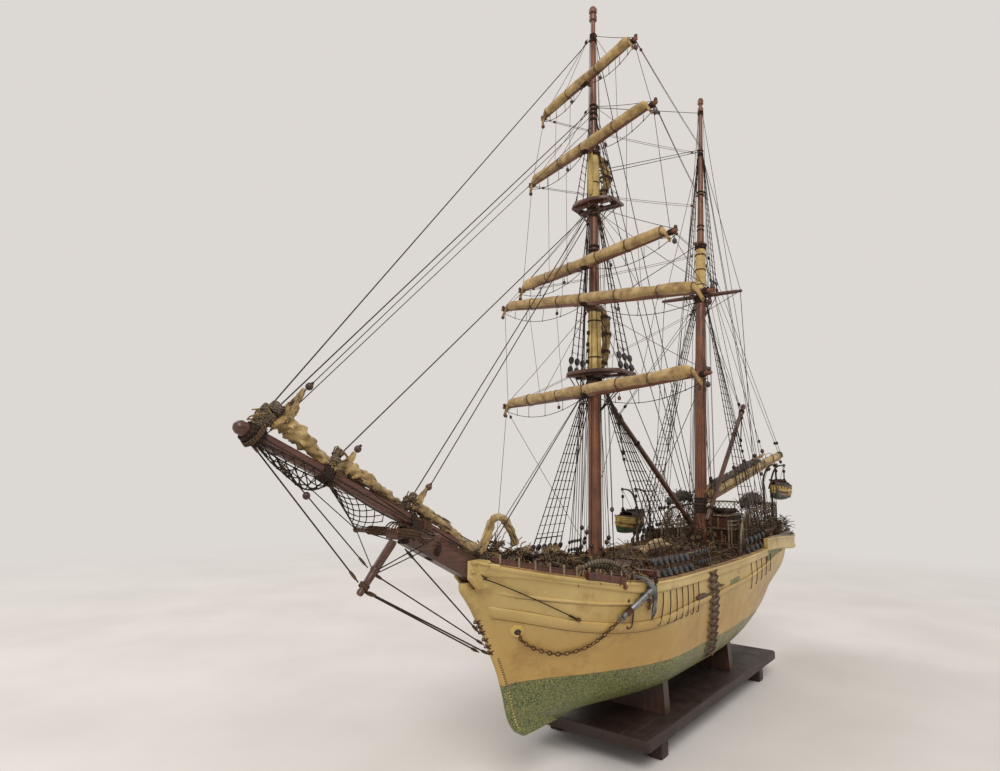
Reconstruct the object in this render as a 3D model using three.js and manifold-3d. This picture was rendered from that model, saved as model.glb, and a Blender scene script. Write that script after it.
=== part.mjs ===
// A wooden display model of a two-masted brigantine on a base board. Millimetres, +Z up.
// The bow points along -X, port is -Y and the feet stand on Z = 0.
import * as THREE from "three";
import { ParametricGeometry } from "three/addons/geometries/ParametricGeometry.js";
import { mergeVertices } from "three/addons/utils/BufferGeometryUtils.js";
import Module from "manifold-3d";

const wasm = await Module();
wasm.setup();

// Driving dimensions. Lengths along the ship count from the middle of the base board.
const GAP = 0.3;
const BOARD = { length: 478, width: 164, thick: 13.5, foot: 22 };
const FOOT = { side: 18, insetX: 48, insetY: 7 };
const KEEL = { bottom: 56, depth: 6, width: 7 };
const WATERLINE = 110;
const BEAM = 200;
const RAIL_LOW = 200;
const BOW = { rail: -442, flat: -165, rise: 32 };
const STERN = { rail: 445, post: 372, poop: 160 };
const BULWARK = { height: 23, thick: 3 };
const POOP = { deck: 204, rail: 221 };
const CRADLE_X = [-148, 78];
const FORE = { x: -205.5, rake: 0.0058, cap: 528, top: 444, heads: 745, truck: 950 };
const MAIN = { x: 139, rake: 0.079, cap: 728, tree: 629, truck: 1017 };
const FORE_CROSSTREES = 668;
const YARD_X = -224;
const BRACED = -20;
const YARDS = [
  { name: "course", z: 413.5, half: 191, thick: 4.6, lift: 0.6 },
  { name: "lower_topsail", z: 529.5, half: 201, thick: 4.6, lift: -9.2 },
  { name: "upper_topsail", z: 577, half: 152, thick: 4.2, lift: -0.7 },
  { name: "topgallant", z: 733, half: 127, thick: 3.8, lift: 1.1 },
  { name: "royal", z: 827, half: 97, thick: 3.3, lift: 3.5 },
];
const BOWSPRIT = { heel: [-416, 0, 214.5], end: [-525, 0, 260.3] };
const JIBBOOM = { heel: [-462, 0, 249.3], end: [-684, 0, 343.2] };
const STRIKER = { top: [-538, 0, 257], end: [-572, 0, 219] };
const SPREADER = { at: [-536.5, 0, 264], half: 50 };
const BOOM = { x: 144.5, z: 268, length: 300, swing: 12, rise: 17.5 };
const DERRICKS = {
  fore: { heel: [112, 4, 240], end: [-120, 20, 407] },
  aft: { heel: [122, -18, 246], end: [270, -37, 444] },
};
const BOATS = {
  port: { x: 300, y: -86, top: 303, head: 338, foot: -64, base: 209 },
  starboard: { x: 112, y: 112, top: 258, head: 293, foot: 87, base: 188 },
};
const BOAT = { length: 96, width: 30, depth: 29, davits: 25 };
// Half the length of the whole model, which the origin divides evenly.
const MIDDLE = (JIBBOOM.end[0] + STERN.rail) / 2;

const COLOUR = {
  yellow: 0xc8a35c,
  green: 0x5f6a41,
  board: 0x32231f,
  mast: 0x75432c,
  spar: 0x5a3324,
  tan: 0xb08c58,
  rope: 0x2c221c,
  deck: 0x6b4a30,
  house: 0x5c2a1e,
  iron: 0x6f6f6c,
  masthead: 0xb99a5a,
};

const ship = new THREE.Group();

function material(colour, roughness = 0.6, metalness = 0) {
  return new THREE.MeshStandardMaterial({ color: colour, roughness, metalness });
}

function add(name, geometry, colour, roughness, metalness, parent = ship) {
  const mesh = new THREE.Mesh(geometry, material(colour, roughness, metalness));
  mesh.name = name;
  parent.add(mesh);
  return mesh;
}

// Solids

// Merges the shared vertices, drops collapsed triangles and turns the faces outwards.
function closed(source) {
  const g = source.clone();
  g.deleteAttribute("normal");
  g.deleteAttribute("uv");
  const merged = mergeVertices(g, 1e-4);
  const p = merged.getAttribute("position");
  const corner = (i) => new THREE.Vector3().fromBufferAttribute(p, i);
  const kept = [];
  let volume = 0;
  for (let i = 0; i < merged.index.count; i += 3) {
    const [a, b, c] = [0, 1, 2].map((k) => merged.index.getX(i + k));
    if (a === b || b === c || a === c) continue;
    kept.push([a, b, c]);
    volume += corner(a).dot(corner(b).cross(corner(c)));
  }
  const turned = volume < 0 ? kept.map(([a, b, c]) => [a, c, b]) : kept;
  merged.setIndex(turned.flat());
  return merged;
}

function solid(geometry) {
  const g = closed(geometry);
  return new wasm.Manifold(
    new wasm.Mesh({
      numProp: 3,
      vertProperties: g.attributes.position.array,
      triVerts: new Uint32Array(g.index.array),
    }),
  );
}

function geometryOf(manifold) {
  const m = manifold.getMesh();
  const g = new THREE.BufferGeometry();
  g.setAttribute("position", new THREE.BufferAttribute(m.vertProperties, 3));
  g.setIndex(new THREE.BufferAttribute(m.triVerts, 1));
  const flat = g.toNonIndexed();
  flat.computeVertexNormals();
  return flat;
}

function join(...geometries) {
  return geometryOf(geometries.map(solid).reduce((a, b) => a.add(b)));
}

function cut(base, ...tools) {
  return geometryOf(tools.map(solid).reduce((a, b) => a.subtract(b), solid(base)));
}

const vec = (p) => new THREE.Vector3(...p);

function box(from, to) {
  const size = vec(to).sub(vec(from));
  const middle = vec(from).add(vec(to)).multiplyScalar(0.5);
  return new THREE.BoxGeometry(size.x, size.y, size.z).translate(...middle.toArray());
}

// A round bar from a to b; profile lists [share of the length, radius].
function spar(a, b, profile, sides = 12) {
  const way = vec(b).sub(vec(a));
  const length = way.length();
  const last = profile.length - 1;
  const points = [new THREE.Vector2(0, profile[0][0] * length)];
  for (const [share, radius] of profile) {
    points.push(new THREE.Vector2(radius, share * length));
  }
  points.push(new THREE.Vector2(0, profile[last][0] * length));
  const turn = new THREE.Quaternion().setFromUnitVectors(
    new THREE.Vector3(0, 1, 0),
    way.normalize(),
  );
  return new THREE.LatheGeometry(points, sides).applyQuaternion(turn).translate(...a);
}

const rod = (a, b, radius, sides = 8) => spar(a, b, [[0, radius], [1, radius]], sides);

function tube(points, radius, steps, sides = 8) {
  const path = new THREE.CatmullRomCurve3(points.map(vec));
  const section = new THREE.Shape();
  section.absarc(0, 0, radius, 0, 2 * Math.PI);
  return new THREE.ExtrudeGeometry(section, {
    steps,
    extrudePath: path,
    curveSegments: sides / 2,
  });
}

// A flat plate from an outline in X and Y.
function plate(outline, z, thick) {
  const shape = new THREE.Shape(outline.map(([x, y]) => new THREE.Vector2(x, y)));
  return new THREE.ExtrudeGeometry(shape, { depth: thick, bevelEnabled: false }).translate(0, 0, z);
}

// Hull form

const mix = THREE.MathUtils.lerp;
const clamp = THREE.MathUtils.clamp;
const smooth = THREE.MathUtils.smoothstep;

function railHeight(x) {
  const ahead = Math.max(0, (BOW.flat - x) / (BOW.flat - BOW.rail));
  const abaft = Math.max(0, (x + 50) / 210);
  return RAIL_LOW + BOW.rise * ahead ** 2.2 + 6 * abaft ** 2;
}

function stemX(z) {
  const low = smooth(z, KEEL.bottom, 86);
  const rake = Math.max(0, z - 86);
  return -345 - 30 * Math.sqrt(low) - 67 * (rake / 146) ** 1.15;
}

function sternX(z) {
  return mix(STERN.post, STERN.rail, smooth(z, 132, 194) ** 0.9);
}

// Half the breadth of the hull at a place along it and a height.
function halfBreadth(x, z) {
  const bilge = clamp((z - KEEL.bottom - 3) / 52, 0, 1);
  const round = Math.sqrt(1 - (1 - bilge) ** 2.2);
  const flare = smooth(z, 85, 178);
  const most = 0.44 * BEAM * round + 0.06 * BEAM * flare;
  const up = clamp((z - WATERLINE) / 115, 0, 1);
  const down = clamp((WATERLINE - z) / 54, 0, 1);
  const fore = clamp((x - stemX(z)) / mix(222, 195, up), 0, 1);
  const aft = clamp((sternX(z) - x) / mix(410, 300, up), 0, 1);
  const entry = Math.sin((fore * Math.PI) / 2) ** (mix(1.2, 0.6, up) + 0.7 * down);
  const run = Math.sin((aft * Math.PI) / 2) ** (mix(0.5, 0.14, up ** 0.7) + 0.7 * down);
  return most * entry * run;
}

// The hull's whole outer form up to its highest rail, or the same form set in from its sides.
function hullForm(inset) {
  const along = 38;
  const up = 11;
  const low = KEEL.bottom + KEEL.depth + GAP + Math.min(0, inset);
  const high = 236;
  const last = 2 * up + 3;
  const surface = (u, v, target) => {
    const k = Math.round(v * last);
    const rung = k <= up + 1 ? up + 1 - k : k - up - 2;
    const z = mix(low, high, clamp(rung / up, 0, 1) ** 1.25);
    const t = mix(u, 0.5 - 0.5 * Math.cos(Math.PI * u), 0.75);
    const x = clamp(mix(BOW.rail, STERN.rail, t), stemX(z) + inset, sternX(z) - inset);
    const flat = u === 0 || u === 1 || rung > up;
    const y = flat ? 0 : Math.max(0, halfBreadth(x, z) - inset);
    target.set(x, k <= up + 1 ? -y : y, z);
  };
  return new ParametricGeometry(surface, along, last);
}

// A point that stands off the hull's side, square to it.
function skin(x, z, side, off) {
  const here = halfBreadth(x, z);
  const slopeX = (halfBreadth(x + 1, z) - here) / 1;
  const slopeZ = (halfBreadth(x, z + 1) - here) / 1;
  const square = new THREE.Vector3(-slopeX, 1, -slopeZ).normalize().multiplyScalar(off);
  return [x + square.x, side * (here + square.y), z + square.z];
}

// All the space between two heights that change along the ship.
function layer(low, high, from, to, step = 24) {
  const places = [];
  for (let x = from; x < to; x += step) places.push(x);
  places.push(to);
  const outline = [
    ...places.map((x) => [x, low(x)]),
    ...places.reverse().map((x) => [x, high(x)]),
  ];
  return plate(outline, -150, 300).rotateX(Math.PI / 2);
}

const deckHeight = (x) => railHeight(x) - BULWARK.height;
const railTop = (x) => (x > STERN.poop ? POOP.rail : railHeight(x));
const always = (z) => () => z;

function common(a, b) {
  return geometryOf(solid(a).intersect(solid(b)));
}

function hull() {
  const fore = layer(always(0), deckHeight, -470, STERN.poop);
  const poop = box([STERN.poop, -150, 0], [470, 150, POOP.deck]);
  return common(hullForm(0), join(fore, poop));
}

function deck() {
  const top = (x) => deckHeight(x) + 1.8;
  const bottom = (x) => deckHeight(x) + GAP;
  const planks = common(hullForm(3.4), layer(bottom, top, -470, STERN.poop - GAP));
  const holes = [
    rod([FORE.x, 0, 150], [FORE.x, 0, 260], 9.2, 20),
    rod(mainAt(150), mainAt(210), 11.4, 20),
    box([-440, -9, 190], [BOWSPRIT.heel[0] + 2, 9, 240]),
  ];
  return cut(planks, ...holes);
}

function bulwark(side) {
  const bottom = (x) => deckHeight(x) + GAP;
  const wall = common(hullForm(0), layer(bottom, railTop, -470, STERN.poop - GAP));
  const half = side < 0 ? box([-500, -9, 0], [500, 150, 300]) : box([-500, -150, 0], [500, 9, 300]);
  return cut(wall, hullForm(BULWARK.thick), half);
}

function poopBulwark() {
  const wall = common(hullForm(0), box([STERN.poop, -150, POOP.deck + GAP], [470, 150, POOP.rail]));
  return cut(wall, hullForm(BULWARK.thick));
}

// The stem, its knee, the keel and the sternpost, which are one sawn outline.
function keel() {
  const half = KEEL.width / 2;
  const top = KEEL.bottom + KEEL.depth;
  const outline = [[-454, 215], [-454.5, 206], [-439, 191], [-414, 155], [-396, 121], [-381, 84]];
  outline.push([-371, 65], [-352, KEEL.bottom], [STERN.post + 12, KEEL.bottom]);
  outline.push([STERN.post + 12, 138], [STERN.post - 3, 131], [STERN.post - 3, top]);
  outline.push([stemX(top) + 3, top], [stemX(90) + 3, 90], [stemX(205) + 2, 205], [-441, 215]);
  const blank = plate(outline, -half, KEEL.width).rotateX(Math.PI / 2);
  const room = [[0, 0], [-2.4, -0.4], [2, -0.4]].map(([x, z]) => hullForm(-0.9).translate(x, 0, z));
  return cut(blank, ...room);
}

function rudder() {
  const hinge = STERN.post + 13;
  const outline = [[0, 60], [26, 60], [27, 70], [22, 112], [10, 134], [0, 134]];
  const blade = plate(outline, -1.8, 3.6).rotateX(Math.PI / 2);
  return blade.translate(hinge, 0, 0);
}

// Stand

function foot(endX, sideY) {
  const x = endX * (BOARD.length / 2 - FOOT.insetX - FOOT.side / 2);
  const y = sideY * (BOARD.width / 2 - FOOT.insetY - FOOT.side / 2);
  const half = FOOT.side / 2;
  return box([x - half, y - half, 0], [x + half, y + half, BOARD.foot]);
}

const boardLow = BOARD.foot + GAP;
const boardTop = boardLow + BOARD.thick;

function board() {
  const edge = 2.5;
  const shape = new THREE.Shape();
  const x = BOARD.length / 2 - edge;
  const y = BOARD.width / 2 - edge;
  shape.moveTo(-x, -y);
  shape.lineTo(x, -y);
  shape.lineTo(x, y);
  shape.lineTo(-x, y);
  const options = { depth: BOARD.thick - edge, bevelThickness: edge, bevelSize: edge };
  const slab = new THREE.ExtrudeGeometry(shape, { ...options, bevelSegments: 2 });
  return common(slab.translate(0, 0, boardLow), box([-300, -150, boardLow], [300, 150, 99]));
}

function cradle(x) {
  const bottom = boardTop + GAP;
  const outline = [[-64, bottom], [64, bottom], [60, 88], [-60, 88]];
  const blank = plate(outline, -7, 14).rotateX(Math.PI / 2).rotateZ(Math.PI / 2);
  const slot = box([x - 20, -KEEL.width / 2 - GAP, KEEL.bottom - GAP], [x + 20, 3.8, 99]);
  const lower = hullForm(-1).translate(0, 0, -0.8);
  return cut(blank.translate(x, 0, 0), hullForm(-1), lower, slot);
}

// Masts and their fittings

const foreX = (z) => FORE.x + (z - 200) * FORE.rake;
const mainX = (z) => MAIN.x + (z - 200) * MAIN.rake;
const foreAt = (z) => [foreX(z), 0, z];
const mainAt = (z) => [mainX(z), 0, z];

function foreLowerMast() {
  const profile = [[0, 8.6], [0.7, 7.6], [1, 6.6]];
  const pole = spar(foreAt(deckHeight(FORE.x) + GAP), foreAt(FORE.cap - 6), profile, 16);
  const cap = box([foreX(528) - 8.6, -8, FORE.cap - 6.1], [foreX(528) + 9, 8, FORE.cap]);
  return join(pole, cap);
}

function foreTopmast() {
  const profile = [[0, 6.4], [0.63, 5.6], [0.64, 6.3], [0.94, 5.9], [0.95, 7.2], [1, 7.2]];
  return spar(foreAt(FORE.cap + GAP), foreAt(FORE.heads), profile, 16);
}

function foreTopgallantMast() {
  const profile = [[0, 5], [0.9, 3.2], [0.91, 5.4], [0.94, 5.4], [0.95, 3], [0.97, 5.6], [1, 3.8]];
  return spar(foreAt(FORE.heads + GAP), foreAt(FORE.truck), profile, 16);
}

function mainLowerMast() {
  const low = mainAt(deckHeight(MAIN.x) + 1.6);
  const pole = spar(low, mainAt(MAIN.cap - 5), [[0, 9.8], [0.7, 8.2], [1, 7.2]], 16);
  const cap = box([mainX(728) - 13, -9, MAIN.cap - 5.1], [mainX(728) + 10, 9, MAIN.cap]);
  return join(pole, cap);
}

function mainTopmast() {
  const profile = [[0, 6.3], [0.12, 5.4], [0.93, 3.4], [0.94, 5.2], [0.96, 3], [0.98, 5.4], [1, 3.6]];
  return spar(mainAt(MAIN.cap + 1), mainAt(MAIN.truck), profile, 16);
}

// A round-fronted platform about a mast, with the mast's own hole and one lubber hole a side.
function platform(at, half, fore, aft, thick, hole) {
  const [x, , z] = at;
  const shape = new THREE.Shape();
  shape.moveTo(aft, -half);
  shape.lineTo(aft, half);
  shape.lineTo(0, half);
  shape.absellipse(0, 0, fore, half, Math.PI / 2, 1.5 * Math.PI, false, 0);
  const plank = new THREE.ExtrudeGeometry(shape, { depth: thick, bevelEnabled: false, curveSegments: 8 });
  const lubber = [-1, 1].map((s) => {
    const y = s * half * 0.55;
    return box([x + 4, y - half * 0.2, z - 9], [x + aft * 0.7, y + half * 0.2, z + 9]);
  });
  return cut(plank.translate(x, 0, z), rod([x, 0, z - 9], [x, 0, z + 9], hole, 20), ...lubber);
}

function foreTop() {
  return platform(foreAt(FORE.top - 4), 38, 20, 36, 4, 8.1);
}

function foreCrosstrees() {
  return platform(foreAt(FORE_CROSSTREES - 4), 30, 18, 24, 4, 6.9);
}

function mainCrosstrees() {
  const [x, , z] = mainAt(MAIN.tree);
  const bar = spar([x - 4, 70, z], [x + 6, -70, z], [[0, 2.6], [0.5, 3.6], [1, 2.6]], 10);
  const trestle = box([x - 20, -13, z - 3], [x + 20, 13, z + 3]);
  return cut(join(bar, trestle), rod([x, 0, z - 9], [x, 0, z + 9], 8.9, 20));
}

// Bowsprit

function bowsprit() {
  return spar(BOWSPRIT.heel, BOWSPRIT.end, [[0, 8], [0.9, 7.6], [0.91, 8.6], [1, 8.6]], 14);
}

function jibboom() {
  const profile = [[0, 5], [0.92, 3.6], [0.93, 5.6], [0.98, 5.6], [1, 3.4]];
  return spar(JIBBOOM.heel, JIBBOOM.end, profile, 14);
}

const striker = () => spar(STRIKER.top, STRIKER.end, [[0, 3.2], [0.9, 2.4], [1, 2]], 10);

function spreader() {
  const [x, , z] = SPREADER.at;
  const s = SPREADER.half;
  return spar([x, s, z], [x, -s, z], [[0, 1.6], [0.5, 2.8], [1, 1.6]], 10);
}

// Yards, each on the pin of a truss just before the mast

function yard(spec, parent) {
  const h = spec.half;
  const profile = [[0, 2.2], [0.04, 2.6], [0.25, 0.85 * spec.thick], [0.5, spec.thick]];
  profile.push([0.75, 0.85 * spec.thick], [0.96, 2.6], [1, 2.2]);
  const pole = spar([0, h, 0], [0, -h, 0], profile, 12);
  const truss = rod([-1, 0, 0], [YARD_TRUSS, 0, 0], 2);
  add("yard_" + spec.name, join(pole, truss), COLOUR.mast, 0.55, 0, parent);
}

const YARD_TRUSS = 9.6;
const ROLL = 5.4;

// The furled sail, a tapered roll that lies along the top of its yard and before it.
function furledSail(spec, parent) {
  const h = spec.half * 0.93;
  const off = spec.thick + ROLL + GAP + 0.2;
  const at = (y) => [-0.42 * off, y, 0.91 * off];
  const profile = [[0, 2.4], [0.03, 0.8 * ROLL], [0.5, ROLL], [0.97, 0.8 * ROLL], [1, 2.4]];
  add("furled_" + spec.name, spar(at(h), at(-h), profile, 10), COLOUR.tan, 0.9, 0, parent);
}

function bracedYard(spec) {
  const turning = new THREE.Group();
  turning.position.set(YARD_X, 0, spec.z);
  turning.rotation.z = THREE.MathUtils.degToRad(BRACED);
  const lifting = new THREE.Group();
  lifting.rotation.x = -THREE.MathUtils.degToRad(spec.lift);
  ship.add(turning);
  turning.add(lifting);
  yard(spec, lifting);
  furledSail(spec, lifting);
}

// Boom, gaff and the furled sail between them, built along +X and then swung and raised

function spanker() {
  const swing = new THREE.Group();
  swing.position.set(BOOM.x, 0, BOOM.z);
  swing.rotation.z = -THREE.MathUtils.degToRad(BOOM.swing);
  const rise = new THREE.Group();
  rise.rotation.y = -THREE.MathUtils.degToRad(BOOM.rise);
  ship.add(swing);
  swing.add(rise);
  const boom = spar([14, 0, 0], [BOOM.length, 0, 0], [[0, 3.2], [0.4, 4], [0.97, 3], [1, 2.4]]);
  const gaff = spar([27, 0, 22], [236, 0, 22], [[0, 3], [0.5, 3.2], [1, 2]]);
  const roll = spar([24, 0, 11.4], [262, 0, 11.4], [[0, 2], [0.05, 6], [0.8, 6.4], [1, 1.5]], 10);
  add("main_boom", boom, COLOUR.spar, 0.6, 0, rise);
  add("main_gaff", gaff, COLOUR.spar, 0.6, 0, rise);
  add("furled_spanker", roll, COLOUR.tan, 0.9, 0, rise);
}

function derrick({ heel, end }) {
  return spar(heel, end, [[0, 3.4], [0.5, 3.8], [0.94, 3.2], [0.95, 4.2], [1, 3.4]], 10);
}

// Deck fittings

function deckhouse() {
  const z = deckHeight(-40) + 2.6;
  const walls = box([-112, -34, z], [18, 34, z + 26]);
  const roof = box([-116, -38, z + 25], [22, 38, z + 29]);
  return join(walls, roof);
}

function poopCabin() {
  const z = POOP.deck + GAP;
  const walls = box([182, -40, z], [300, 40, z + 24]);
  const roof = box([178, -44, z + 23], [304, 44, z + 27]);
  return join(walls, roof);
}

// Rim, hub, spokes and handles of the wheel, which turns about a fore-and-aft axle.
const WHEEL = { x: 330, z: POOP.deck + 21, radius: 11 };

function steeringWheel() {
  const rim = new THREE.TorusGeometry(WHEEL.radius, 1, 5, 20);
  const axle = new THREE.CylinderGeometry(1.8, 1.8, 24, 10).rotateX(Math.PI / 2).translate(0, 0, -10);
  const spokes = [0, 1, 2, 3].map((i) => {
    const a = (i * Math.PI) / 4;
    const r = WHEEL.radius + 4;
    const tip = [r * Math.cos(a), r * Math.sin(a), 0];
    return rod(tip.map((c) => -c), tip, 0.7, 5);
  });
  const wheel = join(rim, axle, ...spokes);
  return wheel.rotateY(Math.PI / 2).rotateX(Math.PI / 8).translate(WHEEL.x, 0, WHEEL.z);
}

function cathead(side) {
  const z = 215;
  const arm = box([-262, -3, z - 6], [-255, 22, z]);
  const out = arm.translate(0, 84, 0);
  return side > 0 ? out : out.rotateZ(Math.PI).translate(-517, 0, 0);
}

// Anchor stowed against the bow: its ring forward and low, its crown at the rail.
const ANCHOR = { ring: [-303, 168], crown: [-264, 199], off: 6.5, arm: 30, sweep: 15 };

function anchor(side) {
  const ring = vec(skin(...ANCHOR.ring, side, ANCHOR.off));
  const crown = vec(skin(...ANCHOR.crown, side, ANCHOR.off));
  const along = ring.clone().sub(crown);
  const out = vec(skin(...ANCHOR.crown, side, ANCHOR.off + 9)).sub(crown);
  const across = along.clone().cross(out).normalize();
  const back = along.clone().normalize();
  const at = (a, b) => crown.clone().addScaledVector(across, a).addScaledVector(back, b);
  const { arm, sweep } = ANCHOR;
  const bend = [at(-arm, sweep), at(-0.6 * arm, 3), at(0, -1), at(0.6 * arm, 3), at(arm, sweep)];
  const arms = tube(bend.map((p) => p.toArray()), 2.2, 8, 6);
  const shank = spar(ring.toArray(), crown.toArray(), [[0.08, 1.9], [0.6, 2.4], [1, 3]], 8);
  const palms = [-1, 1].map((s) => {
    const tip = at(s * arm * 1.04, sweep + 3);
    return spar(at(s * arm * 0.8, 4).toArray(), tip.toArray(), [[0, 1], [0.5, 4.6], [1, 0.6]], 6);
  });
  const turn = new THREE.Quaternion().setFromUnitVectors(new THREE.Vector3(0, 0, 1), across);
  const shackle = new THREE.TorusGeometry(3.6, 0.9, 5, 10).applyQuaternion(turn);
  shackle.translate(...ring.clone().addScaledVector(back, -1.5).toArray());
  return join(shank, arms, ...palms, shackle);
}

// The cable's loop from the hawse pipe down and up to the anchor's ring.
function anchorCable(side) {
  const hung = [[-386, 162, 2.2], [-381, 154, 2.6], [-365, 142, 2.6], [-343, 134, 2.6]];
  hung.push([-325, 136, 2.6], [-314, 145, 2.8], [-308.5, 158, 3.4]);
  const route = hung.map(([x, z, off]) => skin(x, z, side, off));
  return tube(route, 1.3, 24, 6);
}

// Boats in their davits

function lifeboat(boat) {
  const { length, width, depth } = BOAT;
  const form = (shrink) => {
    const surface = (u, v, target) => {
      const k = Math.round(v * 10);
      const end = Math.sin(Math.PI * clamp(u, 0, 1)) ** 0.55;
      const half = Math.max(0, (width / 2) * end - shrink);
      const low = -depth + 6 * (1 - end) + shrink;
      const high = 3 * (2 * u - 1) ** 2 + (shrink ? 5 : 0);
      const turn = (Math.PI * (k - 5)) / 8;
      const flat = k === 0 || k === 10;
      const y = flat ? 0 : half * Math.sin(turn);
      const z = flat ? high : mix(high, low, Math.cos(turn) ** 0.8);
      target.set((u - 0.5) * (length - 2 * shrink), y, z);
    };
    return new ParametricGeometry(surface, 12, 10);
  };
  return cut(form(0), form(2)).translate(boat.x, boat.y, boat.top - 3);
}

// Two curved arms on a bar that lies along the deck.
function davits(boat) {
  const { x, y, head, foot, base } = boat;
  const out = Math.sign(y);
  const reach = Math.abs(y - foot);
  const arms = [-BOAT.davits, BOAT.davits].map((along) => {
    const route = [[x + along, foot, base], [x + along, foot, head - 40], [x + along, foot, head - 26]];
    route.push([x + along, foot + out * reach * 0.28, head - 8], [x + along, y, head]);
    return tube(route, 1.7, 11, 6);
  });
  const bar = box([x - 30, foot - 2.5, base - 3.6], [x + 30, foot + 2.5, base + 0.6]);
  return join(...arms, bar);
}

// Standing rigging. Each gang is one piece because its shrouds meet in a collar at the mast.

function collar(at, inner, outer, high) {
  const [x, y, z] = at;
  const ring = rod([x, y, z], [x, y, z + high], outer, 16);
  return cut(ring, rod([x, y, z - 1], [x, y, z + high + 1], inner, 16));
}

function shrouds(at, inner, feet) {
  const [x, y, z] = at;
  const ring = collar([x, y, z], inner, inner + 1.8, 5);
  const ropes = [-1, 1].flatMap((side) =>
    feet.map((footX, i) => {
      const spread = (i / (feet.length - 1)) * 1.15 - 0.25;
      const top = [x + (inner + 0.9) * Math.sin(spread), side * (inner + 0.9) * Math.cos(spread), z + 2.5];
      const low = [footX, side * (halfBreadth(footX, 196) - 5), railHeight(footX) + 3];
      return rod(low, top, 0.8, 6);
    }),
  );
  return join(ring, ...ropes);
}

const FORE_FEET = [-217, -202, -186, -171, -156, -140, -125];
const MAIN_FEET = [92, 108, 124, 140, 156];

const INNER_STAY = { share: 0.48, top: [-213.5, 0, 655] };

const onJib = (share) => mixPoint(JIBBOOM.heel, JIBBOOM.end, share);

function mixPoint(a, b, share) {
  return a.map((c, i) => mix(c, b[i], share));
}

// A loop about the jibboom and the stays that rise from it.
function headStays(share, ends) {
  const half = 2.5 / 246;
  const [a, b] = [onJib(share - half), onJib(share + half)];
  const ring = cut(rod(a, b, 7.4, 12), rod(onJib(share - 0.1), onJib(share + 0.06), 6, 12));
  const [x, , z] = onJib(share);
  return join(ring, ...ends.map((end) => rod([x + 0.5, 0, z + 6.9], end, 0.8, 6)));
}

// From the striker's tip forward to the boom end and aft to the stem.
function martingale() {
  const [x, , z] = STRIKER.end;
  const tip = new THREE.SphereGeometry(2.6, 8, 6).translate(x - 1.6, 0, z - 3.2);
  const forward = rod([x - 1.6, 0, z - 3.2], [-661, 0, 327], 0.8, 6);
  const aft = [-1, 1].map((s) => rod([x - 1.6, 0, z - 3.2], [-417, s * 7, 148], 0.8, 6));
  return join(tip, forward, ...aft);
}

// Furled headsails, heaped along the top of the jibboom.
function furledHeadsails() {
  const heap = [[0.03, 2], [0.15, 4.4], [0.3, 5.2], [0.5, 4.2], [0.6, 5.2], [0.75, 4], [0.86, 4.6]];
  heap.push([0.9, 1.5]);
  const lift = 11.8;
  const a = JIBBOOM.heel.map((c, i) => c + (i === 2 ? lift : 0));
  const b = JIBBOOM.end.map((c, i) => c + (i === 2 ? lift : 0));
  const [x, , z] = onJib(INNER_STAY.share);
  const band = rod(onJib(INNER_STAY.share - 0.013), onJib(INNER_STAY.share + 0.013), 7.9, 12);
  return cut(spar(a, b, heap, 10), band, rod([x + 0.5, 0, z + 6.9], INNER_STAY.top, 1.4, 6));
}

// Assembly

add("base_board", board(), COLOUR.board, 0.55);
add("foot_port_fore", foot(-1, -1), COLOUR.board, 0.6);
add("foot_starboard_fore", foot(-1, 1), COLOUR.board, 0.6);
add("foot_port_aft", foot(1, -1), COLOUR.board, 0.6);
add("foot_starboard_aft", foot(1, 1), COLOUR.board, 0.6);
add("cradle_fore", cradle(CRADLE_X[0]), COLOUR.board, 0.6);
add("cradle_aft", cradle(CRADLE_X[1]), COLOUR.board, 0.6);
add("hull", hull(), COLOUR.yellow, 0.5);
add("keel", keel(), COLOUR.green, 0.5);
add("rudder", rudder(), COLOUR.green, 0.5);
add("deck", deck(), COLOUR.deck, 0.7);
add("bulwark_port", bulwark(-1), COLOUR.yellow, 0.5);
add("bulwark_starboard", bulwark(1), COLOUR.yellow, 0.5);
add("poop_bulwark", poopBulwark(), COLOUR.yellow, 0.5);
add("deckhouse", deckhouse(), COLOUR.house, 0.6);
add("poop_cabin", poopCabin(), COLOUR.house, 0.6);
add("steering_wheel", steeringWheel(), COLOUR.spar, 0.5);
add("cathead_port", cathead(-1), COLOUR.spar, 0.6);
add("cathead_starboard", cathead(1), COLOUR.spar, 0.6);
add("anchor_port", anchor(-1), COLOUR.iron, 0.45, 0.8);
add("anchor_starboard", anchor(1), COLOUR.iron, 0.45, 0.8);
add("anchor_cable_port", anchorCable(-1), COLOUR.iron, 0.6, 0.6);
add("anchor_cable_starboard", anchorCable(1), COLOUR.iron, 0.6, 0.6);
add("fore_lower_mast", foreLowerMast(), COLOUR.mast, 0.45);
add("fore_topmast", foreTopmast(), COLOUR.mast, 0.45);
add("fore_topgallant_mast", foreTopgallantMast(), COLOUR.mast, 0.45);
add("main_lower_mast", mainLowerMast(), COLOUR.mast, 0.45);
add("main_topmast", mainTopmast(), COLOUR.mast, 0.45);
add("fore_top", foreTop(), COLOUR.spar, 0.6);
add("fore_crosstrees", foreCrosstrees(), COLOUR.spar, 0.6);
add("main_crosstrees", mainCrosstrees(), COLOUR.spar, 0.6);
add("bowsprit", bowsprit(), COLOUR.spar, 0.5);
add("jibboom", jibboom(), COLOUR.spar, 0.5);
add("dolphin_striker", striker(), COLOUR.spar, 0.5);
add("whisker_spreader", spreader(), COLOUR.spar, 0.5);
YARDS.forEach(bracedYard);
spanker();
add("derrick_boom_fore", derrick(DERRICKS.fore), COLOUR.spar, 0.5);
add("derrick_boom_aft", derrick(DERRICKS.aft), COLOUR.spar, 0.5);
add("lifeboat_port", lifeboat(BOATS.port), COLOUR.yellow, 0.5);
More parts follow.
